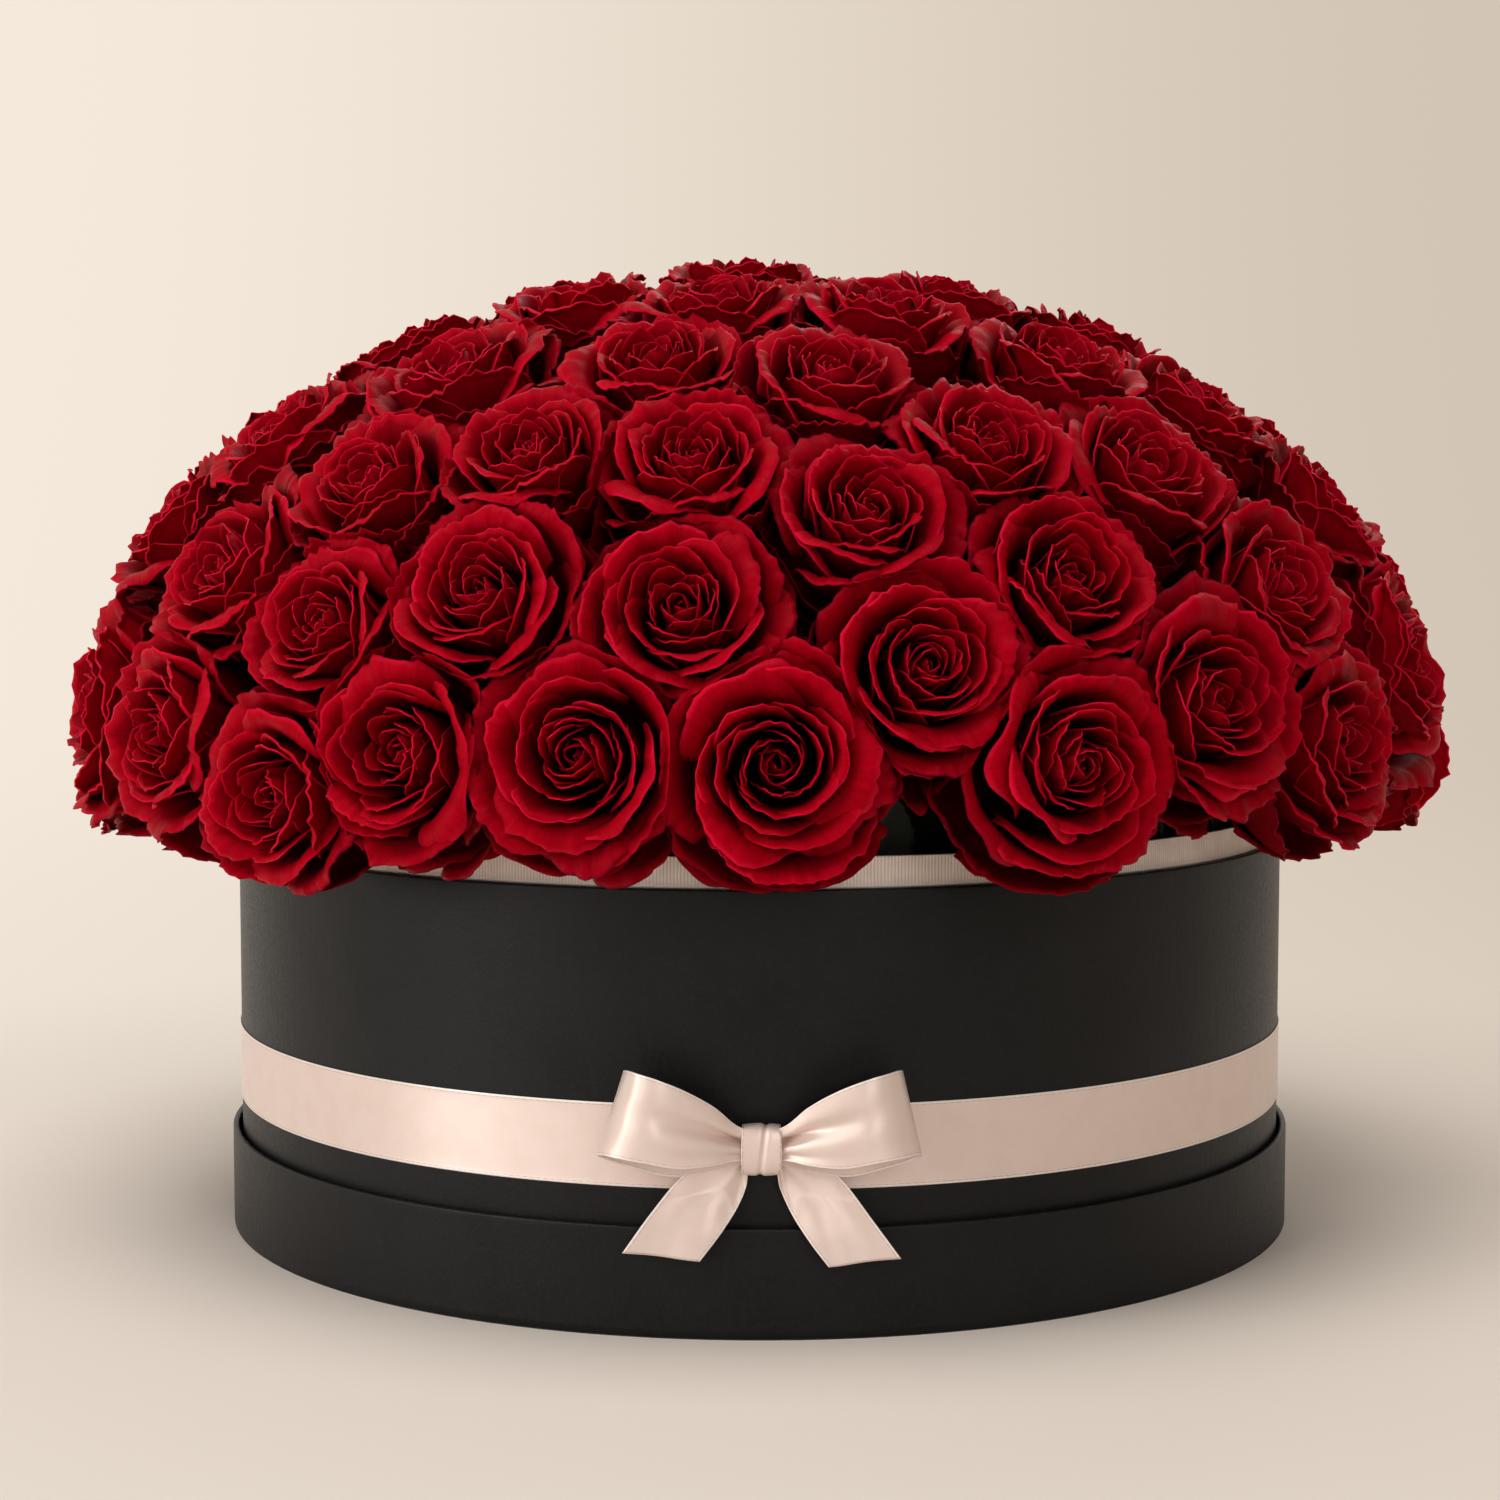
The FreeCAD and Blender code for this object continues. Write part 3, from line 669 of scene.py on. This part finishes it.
def bow_loop(side, sign):
    """One loop: gathered at the knot, full width at its fold, bulging to the front."""
    across, depth, middle, half = curve_through(LOOP_STATIONS, BOW_COLUMNS).T
    w = ribbon_rows(2.0, BOW_ROWS, BOW_WIDTH / 2)[:, None]
    height = middle + half * w
    fold = across / across.max()
    lean = LOOP_LEAN[side] * (height - middle[across.argmax()]) * fold**2
    front = np.clip((np.arange(BOW_COLUMNS) / BOW_COLUMNS - LOOP_FRONT_FROM) / LOOP_FRONT_BLEND, 0, 1)
    fade = np.exp(-np.maximum(across - LOOP_FOLD_FROM, 0) / LOOP_FOLD_FADE)
    fade = front * fade * np.clip(across / LOOP_FOLD_FROM, LOOP_FOLD_LEAST, 1)
    spread = grown(LOOP_FOLD_SPREAD, fold)
    folds = sum(deep * np.exp(-((w - at) / (wide * spread)) ** 2) for at, wide, deep in LOOP_FOLDS)
    cup = LOOP_CUP * fold * (1 - w**2) * ((1 + LOOP_CUP_BACK) * front - LOOP_CUP_BACK)
    grid = bow_place(sign * (across - lean), depth - fade * folds + cup, height)
    strip_piece(f"satin_loop_{side}", grid, f"bow_loop_{side}", BOW_WIDTH)


def bow_tail(side, sign):
    """One tail: out of the knot, over the edge of the tray, to a slanted cut."""
    outer, inner = (curve_through(edge, TAIL_COLUMNS) for edge in TAIL_EDGES[side])
    depth = curve_through(TAIL_DEPTHS, TAIL_COLUMNS)[:, 0]
    w = ribbon_rows(1.0, BOW_ROWS, TAIL_WIDTH)[:, None] + 0.5
    across = inner[:, 0] + (outer[:, 0] - inner[:, 0]) * w
    height = inner[:, 1] + (outer[:, 1] - inner[:, 1]) * w
    run = np.linspace(0, 1, TAIL_COLUMNS)
    rise = np.clip(run / TAIL_PLEAT_RISE, TAIL_PLEAT_LEAST, 1)
    gather = rise * np.exp(-np.maximum(run - TAIL_PLEAT_END, 0) / TAIL_PLEAT_FADE)
    pleat = np.cos(2 * math.pi * (TAIL_PLEATS * w + TAIL_PLEAT_SLANT * run)) ** 2
    pleat = TAIL_PLEAT_DEPTH * gather * pleat * np.clip(grown(TAIL_PLEAT_SIDE, w), 0, 1)
    swell = np.clip((run - TAIL_WAVE_FROM) / TAIL_WAVE_BLEND, 0, 1)
    wave = np.sin(math.pi * (w + TAIL_WAVE_SLANT * run - TAIL_WAVE_SHIFT)) ** 2
    wave = TAIL_WAVE_DEPTH * swell * wave
    grid = bow_place(sign * across, depth + pleat + wave, height)
    strip_piece(f"satin_tail_{side}", grid, f"bow_tail_{side}", TAIL_WIDTH)


def bow_knot():
    """The band that gathers the bow: a short tube with a slanting crease round it."""
    low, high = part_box("bow_knot")
    middle = (low + high) / 2
    size = (high - low) / 2
    turn = np.linspace(0, 2 * math.pi, KNOT_ROUND_STEPS, endpoint=False)
    x = np.linspace(-1, 1, KNOT_ROWS)[:, None]
    power = 2 / KNOT_SQUARENESS
    deep = np.sign(np.cos(turn)) * np.abs(np.cos(turn)) ** power
    tall = np.sign(np.sin(turn)) * np.abs(np.sin(turn)) ** power
    crease = -KNOT_CREASE * MM * np.exp(-((x - KNOT_CREASE_LEAN * (0.5 + tall)) / KNOT_CREASE_HALF) ** 2)
    waist = 1 - KNOT_WAIST * x**2
    grid = np.stack([
        middle.x + size.x * x * (1 - KNOT_TAPER * np.abs(tall)) + 0 * deep,
        middle.y + (size.y * waist - BOW_STRIP * MM / 2 + crease) * deep,
        middle.z + KNOT_RAISE * MM + (KNOT_TALL * size.z * waist - BOW_STRIP * MM / 2 + crease) * tall,
    ], -1)
    points, faces = shell(grid, BOW_STRIP * MM, closed=True)
    across = x * BOW_WIDTH * MM / 2 + np.zeros(grid.shape[:2])
    round_it = np.linalg.norm(np.roll(grid, -1, 1) - grid, axis=2).mean(0)
    along = np.cumsum(round_it)[None, :] + np.zeros(grid.shape[:2])
    values = ribbon_values(across, along, BOW_WIDTH * MM)
    knot = piece("gathered_knot", points, faces, "box", "satin", values)
    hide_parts("bow_knot")


# Roses

Ring = namedtuple("Ring", "petals columns reach height lean roll bend half shoulder ruffle")
# Each ring of petals, from the bud out: how many, points across each, then at its first and last petal the
# reach of the lip, its height, the lean of the wall, how far the lip rolls, the radius of that roll and half
# the petal's width, then how far its sides fall short of its middle and how ruffled its lip is. Lengths are
# shares of the bloom's radius, angles are in degrees.
RINGS = (
    Ring(7, 13, (0.02, 0.17), (0.00, 0.11), (-16, -2), (4, 18), (0.02, 0.03), (118, 78), 0.14, 0.5),
    Ring(9, 15, (0.21, 0.40), (0.12, 0.12), (2, 10), (18, 40), (0.03, 0.05), (68, 55), 0.28, 0.9),
    Ring(8, 19, (0.44, 0.66), (0.11, 0.05), (12, 20), (42, 74), (0.05, 0.09), (62, 54), 0.28, 1.0),
    Ring(5, 27, (0.76, 0.93), (0.01, -0.09), (18, 28), (74, 100), (0.14, 0.19), (62, 57), 0.30, 1.3),
    Ring(5, 39, (1.01, 1.12), (-0.14, -0.27), (20, 30), (66, 94), (0.17, 0.22), (60, 56), 0.28, 2.0),
    Ring(6, 35, (1.09, 1.20), (-0.42, -0.84), (8, 18), (46, 72), (0.14, 0.18), (56, 50), 0.26, 2.2),
)
PETAL_COUNT = sum(ring.petals for ring in RINGS)
PETAL_THICKNESS = 0.38 * MM
USUAL_RADIUS = 28 * MM
GOLDEN_TURN = math.radians(137.508)
WALL_ROWS = 7
ROLL_ROWS = 5
WALL_SHARE = 0.8
WALL_ROW_POWER = 0.8

# How petals differ at random: an amount either way, or the least and the most. A ripple has a size, a pace
# and a start
TIP_PLAY = 0.3
REACH_PLAY = (0.95, 1.05)
HEIGHT_PLAY = 0.045
LEAN_PLAY = 4
ROLL_PLAY = (0.75, 1.25)
BEND_PLAY = (0.85, 1.15)
HALF_PLAY = (0.92, 1.08)
POINT_PLAY = (0.02, 0.05)
SHIFT_PLAY = 0.03
CUP_PLAY = (-0.10, 0.05)
TURN_PLAY = 0.35
RIPPLE_LEAST = (0.4, 0.8, 0.0)
RIPPLE_MOST = (1.0, 1.2, 2 * math.pi)

# The wall of a petal. Pairs are the number at the bud and how much it grows to the outermost petal
FOOT_RADIUS = (0.03, 0.12)
FOOT_HEIGHT = (-1.30, 0.05)
FOOT_LEAN = (18, 66)
FOOT_PULL = 1.25
LIP_PULL = 1.1
LEAST_RADIUS = 0.012
FLATNESS = (0.26, -0.16)
OVERLAP = (0.17, -0.11)
SHIFT_GROWTH = (0.3, 2)
CUP_FADE = 2.2

# The lip of a petal: its shoulders, its point, its roll, and waves along it with their sizes
TIP_HALF = 0.4
SHOULDER_POWER = 2.6
POINT_POWER = 1.5
POINT_PUSH = 0.022
EDGE_WAVES = (6, 10, 14)
EDGE_SIZE = 0.022
ROLL_AT_POINT = 0.6
ROLL_SIDE_LOSS = 0.35
ROLL_WAVES = (1, 2, 3)
ROLL_SIZE = 0.35
RUFFLE_FROM = 0.5
RUFFLE_WAVES = (2, 3, 5)
RUFFLE_SIZE = 0.034
FRILL_WAVES = (7, 10, 13)
FRILL_SIZE = 0.020
OPEN_FROM = 0.45
SIDE_DROOP = 0.05

# A bloom among its neighbours
ROSE_ROWS = 5
CROWN_ROSES = 6
BUD_ABOVE_FACE = 0.20
FOOT_BELOW_FACE = 1.40
TURN_SEED = 1000
FULLNESS = (1.15, 1.28)
NEIGHBOURS = 6
NEIGHBOUR_REACH = 3
PRESS = 1.6 * MM
LAP_OVER = 4.2 * MM
LAP_UNDER = 0.8 * MM
SILL_BELOW_WALL = 3.0 * MM
SILL_PRESS = 4.5 * MM

Rose = namedtuple("Rose", "name body face axis radius node")


def between(ends, share):
    """A number between two ends."""
    return ends[0] + (ends[1] - ends[0]) * share


def cubic(s, start, end, start_slope, end_slope):
    """A cubic between two numbers with the slopes given at its ends, and its slope, at the shares s."""
    place = ((2 * s**3 - 3 * s**2 + 1) * start + (s**3 - 2 * s**2 + s) * start_slope
             + (3 * s**2 - 2 * s**3) * end + (s**3 - s**2) * end_slope)
    slope = ((6 * s**2 - 6 * s) * start + (3 * s**2 - 4 * s + 1) * start_slope
             + (6 * s - 6 * s**2) * end + (3 * s**2 - 2 * s) * end_slope)
    return place, slope


def ripple(rng, u, waves):
    """A soft random line along a lip: a few sine waves of random size, pace and start."""
    sizes, paces, starts = rng.uniform(RIPPLE_LEAST, RIPPLE_MOST, (len(waves), 3)).T
    drawn = zip(sizes, paces, starts, waves)
    return sum(a * np.sin(math.pi * w * k * u + s) for a, k, s, w in drawn) / len(waves)


def petal(rng, ring, share, order, hand):
    """One petal of a bloom of radius 1 as a grid of points, and the share along it of each row. order runs
    from 0 at the bud to 1 at the outermost petal."""
    u = np.linspace(-1, 1, ring.columns)
    open_share = max(0.0, (order - OPEN_FROM) / (1 - OPEN_FROM))
    tip = rng.uniform(-TIP_PLAY, TIP_PLAY)
    off_tip = np.minimum(1, np.abs(u - tip) / TIP_HALF)
    reach = between(ring.reach, share) * rng.uniform(*REACH_PLAY)
    top = between(ring.height, share) + rng.uniform(-HEIGHT_PLAY, HEIGHT_PLAY)
    lean = math.radians(between(ring.lean, share) + rng.uniform(-LEAN_PLAY, LEAN_PLAY))
    roll = math.radians(between(ring.roll, share) * rng.uniform(*ROLL_PLAY))
    bend = between(ring.bend, share) * rng.uniform(*BEND_PLAY)
    half = math.radians(between(ring.half, share) * rng.uniform(*HALF_PLAY))
    # how far up the wall goes at each point across: rounded shoulders, a small point, an uneven edge
    rise = 1 - ring.shoulder * np.abs(u) ** SHOULDER_POWER
    rise += ring.ruffle * rng.uniform(*POINT_PLAY) * (1 - off_tip) ** POINT_POWER
    rise += ring.ruffle * EDGE_SIZE * ripple(rng, u, EDGE_WAVES)
    # the wall, from the foot of the bloom to the start of the roll
    foot_r, foot_z = grown(FOOT_RADIUS, order), grown(FOOT_HEIGHT, order)
    end_r = max(LEAST_RADIUS, reach - bend * (math.cos(lean) - math.cos(lean + roll)))
    size = math.hypot(end_r - foot_r, top - foot_z)
    start = math.radians(grown(FOOT_LEAN, order))
    s = np.linspace(0, 1, WALL_ROWS)[:, None] ** WALL_ROW_POWER * rise
    r, dr = cubic(s, foot_r, end_r, size * FOOT_PULL * math.sin(start), size * LIP_PULL * math.sin(lean))
    z, dz = cubic(s, foot_z, top, size * FOOT_PULL * math.cos(start), size * LIP_PULL * math.cos(lean))
    slope = np.arctan2(dr, dz)
    # the roll of the lip, stronger beside the point than on it
    curl = roll * (ROLL_AT_POINT + (1 - ROLL_AT_POINT) * off_tip) * (1 - ROLL_SIDE_LOSS * u**2)
    curl = curl * (1 + ROLL_SIZE * ripple(rng, u, ROLL_WAVES))
    v = np.linspace(0, 1, ROLL_ROWS + 1)[1:, None]
    turned = slope[-1] + v * curl
    r = np.vstack([r, r[-1] + bend * (np.cos(slope[-1]) - np.cos(turned))])
    z = np.vstack([z, z[-1] + bend * (np.sin(turned) - np.sin(slope[-1]))])
    slope = np.vstack([slope, turned])
    along = np.concatenate([np.linspace(0, WALL_SHARE, WALL_ROWS), WALL_SHARE + (1 - WALL_SHARE) * v[:, 0]])
    # the ruffle of the lip, and the droop of the sides of the outer petals
    near = np.clip((along - RUFFLE_FROM) / (1 - RUFFLE_FROM), 0, 1)[:, None] ** 2
    push = near * RUFFLE_SIZE * ring.ruffle * ripple(rng, u, RUFFLE_WAVES)
    push = push + near**2 * FRILL_SIZE * ring.ruffle * ripple(rng, u, FRILL_WAVES)
    push = push + near * POINT_PUSH * ring.ruffle * (1 - off_tip) ** 2
    r = r + push * np.cos(slope)
    z = z - push * np.sin(slope) - SIDE_DROOP * open_share * u**2 * along[:, None] ** 2
    # petals are flatter than the bloom is round, and one side of each lies over its neighbour
    r = r * (1 + grown(FLATNESS, order) * (u * half) ** 2 / 2) * (1 + hand * grown(OVERLAP, order) * u)
    turn = u * half + np.zeros_like(r)
    shift = rng.uniform(-SHIFT_PLAY, SHIFT_PLAY, 2) * min(1.0, grown(SHIFT_GROWTH, order))
    return np.stack([r * np.cos(turn) + shift[0], r * np.sin(turn) + shift[1], z], -1), along


def bloom(seed):
    """Points, faces and values of one bloom of radius 1 with its face at the origin and its axis on +Z."""
    rng = np.random.RandomState(seed)
    hand = rng.choice((-1, 1))
    cup = rng.uniform(*CUP_PLAY)
    skins, along_values, across_values, layers = [], [], [], []
    number = 0
    for ring in RINGS:
        for i in range(ring.petals):
            order = number / (PETAL_COUNT - 1)
            grid, along = petal(rng, ring, i / (ring.petals - 1), order, hand)
            grid[..., 2] += cup * max(0.0, 1 - CUP_FADE * order)
            turn = hand * number * GOLDEN_TURN + rng.uniform(-TURN_PLAY, TURN_PLAY)
            c, s = math.cos(turn), math.sin(turn)
            grid = grid @ np.array([[c, s, 0], [-s, c, 0], [0, 0, 1]])
            skins.append(shell(grid, PETAL_THICKNESS / USUAL_RADIUS))
            shape = grid.shape[:2]
            along_values.append(twice(along[:, None] + np.zeros(shape)))
            across_values.append(twice(np.linspace(-1, 1, ring.columns) + np.zeros(shape)))
            layers.append(twice(np.full(shape, order)))
            number += 1
    values = {"along": np.concatenate(along_values), "across": np.concatenate(across_values),
              "layer": np.concatenate(layers)}
    return *joined(skins), values


def upright(axis):
    """Two directions square to an axis."""
    side = np.cross((0, 0, 1), axis)
    if np.linalg.norm(side) < 1e-6:
        side = np.array((1.0, 0, 0))
    side = side / np.linalg.norm(side)
    return side, np.cross(axis, side)


def stem_axis(points, centre):
    """Middle and direction of a stem, pointing out of the dome."""
    middle = points.mean(0)
    axis = np.linalg.svd(points - middle, full_matrices=False)[2][0]
    return middle, axis if axis @ (middle - centre) > 0 else -axis


def roses_of(stem_node, bloom_node, name, body, centre):
    """The roses of one group, from the stems and blooms of the CAD model."""
    lines = [stem_axis(points, centre) for points in islands(stem_node)]
    cloud = node_points(bloom_node)
    away = []
    for middle, axis in lines:
        ahead = (cloud - middle) @ axis
        beside = np.linalg.norm(cloud - middle - np.outer(ahead, axis), axis=1)
        away.append(np.where(ahead > 0, beside, np.inf))
    nearest = np.argmin(away, axis=0)
    found = []
    for number, (middle, axis) in enumerate(lines):
        heights = (cloud[nearest == number] - middle) @ axis
        radius = (heights.max() - heights.min()) / (BUD_ABOVE_FACE + FOOT_BELOW_FACE)
        face = middle + axis * (heights.max() - BUD_ABOVE_FACE * radius)
        label = name if len(lines) == 1 else f"{name}_{number + 1}"
        found.append(Rose(label, body, face, axis, radius, bloom_node))
    return found


def all_roses():
    """The roses of every row, from the rim up, then those of the crown."""
    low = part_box("foam_dome")[0]
    centre = np.array((0.0, 0.0, low.z))
    found = []
    for row in range(1, ROSE_ROWS + 1):
        found += roses_of(f"row_{row}_stems", f"row_{row}_blooms", f"rose_row_{row}", "insert", centre)
    for number in range(1, CROWN_ROSES + 1):
        name = f"crown_rose_{number}"
        found += roses_of(f"{name}_stem", f"{name}_bloom", f"{name}_petals", name, centre)
    return found


def fullness(rose, roses):
    """How far a bloom opens: more where its neighbours leave it room."""
    apart = sorted(np.linalg.norm(other.face - rose.face) for other in roses)[1:NEIGHBOURS + 1]
    return float(np.clip(np.mean(apart) / (2 * rose.radius), *FULLNESS))


def pressed(points, rose, others):
    """Points of a bloom held back from its neighbours: past the plane between two they flatten.
    The lower rose of the two laps a little over that plane, and the upper one stays short of it."""
    for other in others:
        apart = other.face - rose.face
        distance = np.linalg.norm(apart)
        way = apart / distance
        lap = LAP_OVER if way[2] > 0 else -LAP_UNDER
        limit = distance * rose.radius / (rose.radius + other.radius) + lap
        over = (points - rose.face) @ way - limit
        held = -PRESS * np.logaddexp(0, -over / PRESS)
        points = points + np.outer(held - over, way)
    return points


def held_up(points, sill):
    """Points of a bloom at the rim: what would hang below the sill bends up to it."""
    lift = SILL_PRESS * np.logaddexp(0, (sill - points[:, 2]) / SILL_PRESS)
    return points + lift[:, None] * (0, 0, 1)


def make_roses():
    """A bloom on each rose of the CAD model, turned at random and pressed against its neighbours."""
    roses = all_roses()
    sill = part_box("neck_ribbon")[0].z - SILL_BELOW_WALL
    for number, rose in enumerate(roses):
        points, faces, values = bloom(number)
        side, up = upright(rose.axis)
        rng = np.random.RandomState(TURN_SEED + number)
        turn = rng.uniform(0, 2 * math.pi)
        c, s = math.cos(turn), math.sin(turn)
        frame_axes = np.array([c * side + s * up, c * up - s * side, rose.axis])
        points = rose.face + points @ frame_axes * rose.radius * fullness(rose, roses)
        near = NEIGHBOUR_REACH * rose.radius
        others = [r for r in roses if r is not rose and np.linalg.norm(r.face - rose.face) < near]
        points = held_up(pressed(points, rose, others), sill)
        values["tone"] = np.full(len(points), rng.uniform())
        made = piece(rose.name, points, faces, rose.body, "petal", values)
        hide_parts(rose.node)


# Leaves in the gaps of the lowest row

LEAF_ROWS = 25
LEAF_COLUMNS = 13
LEAF_SEED = 500
LEAF_THICKNESS = 0.4 * MM
LEAF_LENGTH = 0.70
LEAF_ROUNDNESS = 0.8
LEAF_TEETH = 9
LEAF_TOOTH_DEPTH = 0.05
LEAF_FOLD = 0.22
LEAF_TWIST = 0.10
LEAF_TWIST_PLAY = 6
LEAF_BOW = 0.10
MIDRIB_HALF = 0.09
SIDE_VEINS = 6
SIDE_VEIN_SLANT = 1.6
SIDE_VEIN_SHARPNESS = 12
SIDE_VEIN_SHARE = 0.6


def rim_leaves():
    """Toothed leaves with a folded midrib, one on each leaf of the CAD model."""
    skins, veins = [], []
    for number, solid in enumerate(islands("rim_leaves")):
        rng = np.random.RandomState(LEAF_SEED + number)
        low_end, tip = solid[solid[:, 2].argmin()], solid[solid[:, 2].argmax()]
        middle = solid.mean(0)
        out = np.array((middle[0], middle[1], 0)) / np.linalg.norm(middle[:2])
        side = np.cross((0, 0, 1), out)
        foot = tip + (low_end - tip) * LEAF_LENGTH
        foot = foot - side * ((foot - middle) @ side)
        rise = tip - foot
        half = np.abs((solid - middle) @ side).max()
        t = np.linspace(0, 1, LEAF_ROWS)[:, None]
        w = np.linspace(-1, 1, LEAF_COLUMNS)
        teeth = 1 + LEAF_TOOTH_DEPTH * np.sin(2 * math.pi * LEAF_TEETH * t)
        broad = np.sin(math.pi * t**LEAF_ROUNDNESS) ** LEAF_ROUNDNESS * teeth
        twist = LEAF_TWIST * np.sin(math.pi * 2 * t + rng.uniform(0, LEAF_TWIST_PLAY)) * w
        fold = (LEAF_FOLD * np.abs(w) + twist) * half * broad
        bow = -LEAF_BOW * np.linalg.norm(rise) * np.sin(math.pi * t) + 0 * w
        spine = foot + t[..., None] * rise
        grid = spine + (w * half * broad)[..., None] * side + (fold + bow)[..., None] * out
        skins.append(shell(grid, LEAF_THICKNESS))
        side_veins = np.cos(2 * math.pi * (SIDE_VEINS * t - SIDE_VEIN_SLANT * np.abs(w)))
        side_veins = np.maximum(0, side_veins) ** SIDE_VEIN_SHARPNESS
        vein = np.maximum(np.exp(-(w / MIDRIB_HALF) ** 2) + 0 * t, SIDE_VEIN_SHARE * side_veins)
        veins.append(twice(vein))
    leaves = piece("rim_leaf_blades", *joined(skins), "insert", "leaf", {"vein": np.concatenate(veins)})
    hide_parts("rim_leaves")


# Studio

FLOOR_FRONT = -4.0
FLOOR_BACK = 1.6
SWEEP_RADIUS = 0.9
SWEEP_TOP = 4.0
SWEEP_HALF = 5.0
SWEEP_ANGLES = np.radians(np.arange(0, 91, 5))
SWEEP_FADE = 0.9
# The floor's pale colour with painted light: lighter on the left, darker on the right
FLOOR_LEFT_PAINTED_LIGHT = (0.94, 0.85, 0.76)
FLOOR_RIGHT_PAINTED_SHADE = (0.88, 0.775, 0.67)
# Distance from the origin where the floor starts to glow with the pale colour and its painted light, and
# where it shows nothing else
GLOW_FROM = 0.18
GLOW_TO = 0.58
# The pale glow of the backdrop and of the seen sky, with painted light: lighter on the left, darker on the
# right
PALE_LEFT_PAINTED_LIGHT = (0.905, 0.815, 0.708)
PALE_RIGHT_PAINTED_SHADE = (0.651, 0.558, 0.462)
SKY_FADE = 0.25
AIR_COLOUR = (1.0, 0.97, 0.93)
AIR_STRENGTH = 0.19
LAMP_AIM = (0, 0, 0.17)


def backdrop_finish():
    """Pale warm paper sweep with painted light, lighter on the left: a plain floor, and a backdrop that glows
    where seen.
    """
    finish = Finish("studio_sweep", (0.80, 0.71, 0.62), 0.9, Specular_IOR_Level=0.1)
    place = finish.node("SeparateXYZ")
    finish.join(finish.place(), place.inputs[0])
    # painted light: the colour falls from lighter on the left to darker on the right
    across = finish.spread(place.outputs["X"], -SWEEP_FADE, SWEEP_FADE)
    finish.colour(finish.mix(across, FLOOR_LEFT_PAINTED_LIGHT, FLOOR_RIGHT_PAINTED_SHADE))
    # the glow where the sweep is seen carries the same painted light
    glow = finish.node("Emission")
    finish.join(finish.mix(across, PALE_LEFT_PAINTED_LIGHT, PALE_RIGHT_PAINTED_SHADE), glow.inputs["Color"])
    away = finish.node("VectorMath", operation="LENGTH")
    finish.join(finish.place(), away.inputs[0])
    far = finish.spread(away.outputs["Value"], GLOW_FROM, GLOW_TO)
    share = finish.math("MULTIPLY", finish.seen(), far)
    finish.show("Material Output", share, finish.shader.outputs["BSDF"], glow.outputs["Emission"])
    return finish.material


def studio():
    """Floor that sweeps up into a backdrop."""
    bend = [(FLOOR_BACK + SWEEP_RADIUS * math.sin(a), SWEEP_RADIUS * (1 - math.cos(a))) for a in SWEEP_ANGLES]
    line = [(FLOOR_FRONT, 0.0)] + bend + [(FLOOR_BACK + SWEEP_RADIUS, SWEEP_TOP)]
    points = [(x, y, z) for y, z in line for x in (-SWEEP_HALF, SWEEP_HALF)]
    faces = [(2 * k, 2 * k + 1, 2 * k + 3, 2 * k + 2) for k in range(len(line) - 1)]
    mesh = bpy.data.meshes.new("studio_sweep")
    mesh.from_pydata(points, [], faces)
    mesh.polygons.foreach_set("use_smooth", [True] * len(mesh.polygons))
    mesh.materials.append(backdrop_finish())
    sweep = bpy.data.objects.new("studio_sweep", mesh)
    bpy.context.scene.collection.objects.link(sweep)


def lamp(name, place, size, power):
    """A soft square lamp that faces the middle of the object."""
    light = bpy.data.lights.new(name, "AREA")
    light.shape = "SQUARE"
    light.size = size
    light.energy = power
    made = bpy.data.objects.new(name, light)
    made.location = place
    aim = Vector(LAMP_AIM) - Vector(place)
    made.rotation_euler = aim.to_track_quat("-Z", "Y").to_euler()
    bpy.context.scene.collection.objects.link(made)


def lights():
    """Soft lamps round the object, with more light from its left."""
    lamp("left_softbox", (-1.55, -1.2, 0.85), size=1.5, power=16.5)
    lamp("left_strip", (-1.5, -0.8, 0.26), size=0.5, power=3.5)
    lamp("front_softbox", (0.45, -1.85, 0.75), size=0.8, power=6.5)
    lamp("top_softbox", (-0.1, -0.6, 2.0), size=1.2, power=17)
    lamp("back_softbox", (0.5, 1.45, 1.3), size=1.0, power=6)


def studio_air():
    """Even light from all round; where it is seen, it is as pale as the backdrop, with the same painted
    light, lighter on the left.
    """
    world = bpy.data.worlds.new("studio_air")
    bpy.context.scene.world = world
    world.use_nodes = True
    air = Nodes(world.node_tree)
    light = air.tree.nodes["Background"]
    light.inputs["Color"].default_value = (*AIR_COLOUR, 1)
    light.inputs["Strength"].default_value = AIR_STRENGTH
    way = air.node("SeparateXYZ")
    air.join(air.node("TexCoord").outputs["Generated"], way.inputs[0])
    # painted light across the seen sky: lighter on the left, darker on the right
    across = air.spread(way.outputs["X"], -SKY_FADE, SKY_FADE)
    pale = air.node("Background")
    air.join(air.mix(across, PALE_LEFT_PAINTED_LIGHT, PALE_RIGHT_PAINTED_SHADE), pale.inputs["Color"])
    air.show("World Output", air.seen(), light.outputs["Background"], pale.outputs["Background"])


def camera():
    """The camera that stands where the photograph was taken."""
    data = bpy.data.cameras.new("camera")
    data.lens = CAMERA_LENS
    data.sensor_width = CAMERA_SENSOR
    made = bpy.data.objects.new("camera", data)
    made.location = CAMERA_PLACE
    made.rotation_euler = (math.radians(CAMERA_PITCH), 0, 0)
    bpy.context.scene.collection.objects.link(made)
    bpy.context.scene.camera = made


dress_cad_nodes()
paper_cover("tray_wrap", "tray_cover", TRAY_BOARD, "tray")
paper_cover("box_wrap", "box_cover", WALL_BOARD, "box")
ribbon_band()
neck_ribbon()
bow_knot()
for side_name, side_sign in (("left", -1), ("right", 1)):
    bow_loop(side_name, side_sign)
    bow_tail(side_name, side_sign)
make_roses()
rim_leaves()
studio()
lights()
studio_air()
camera()
bpy.context.scene.view_settings.view_transform = "Standard"
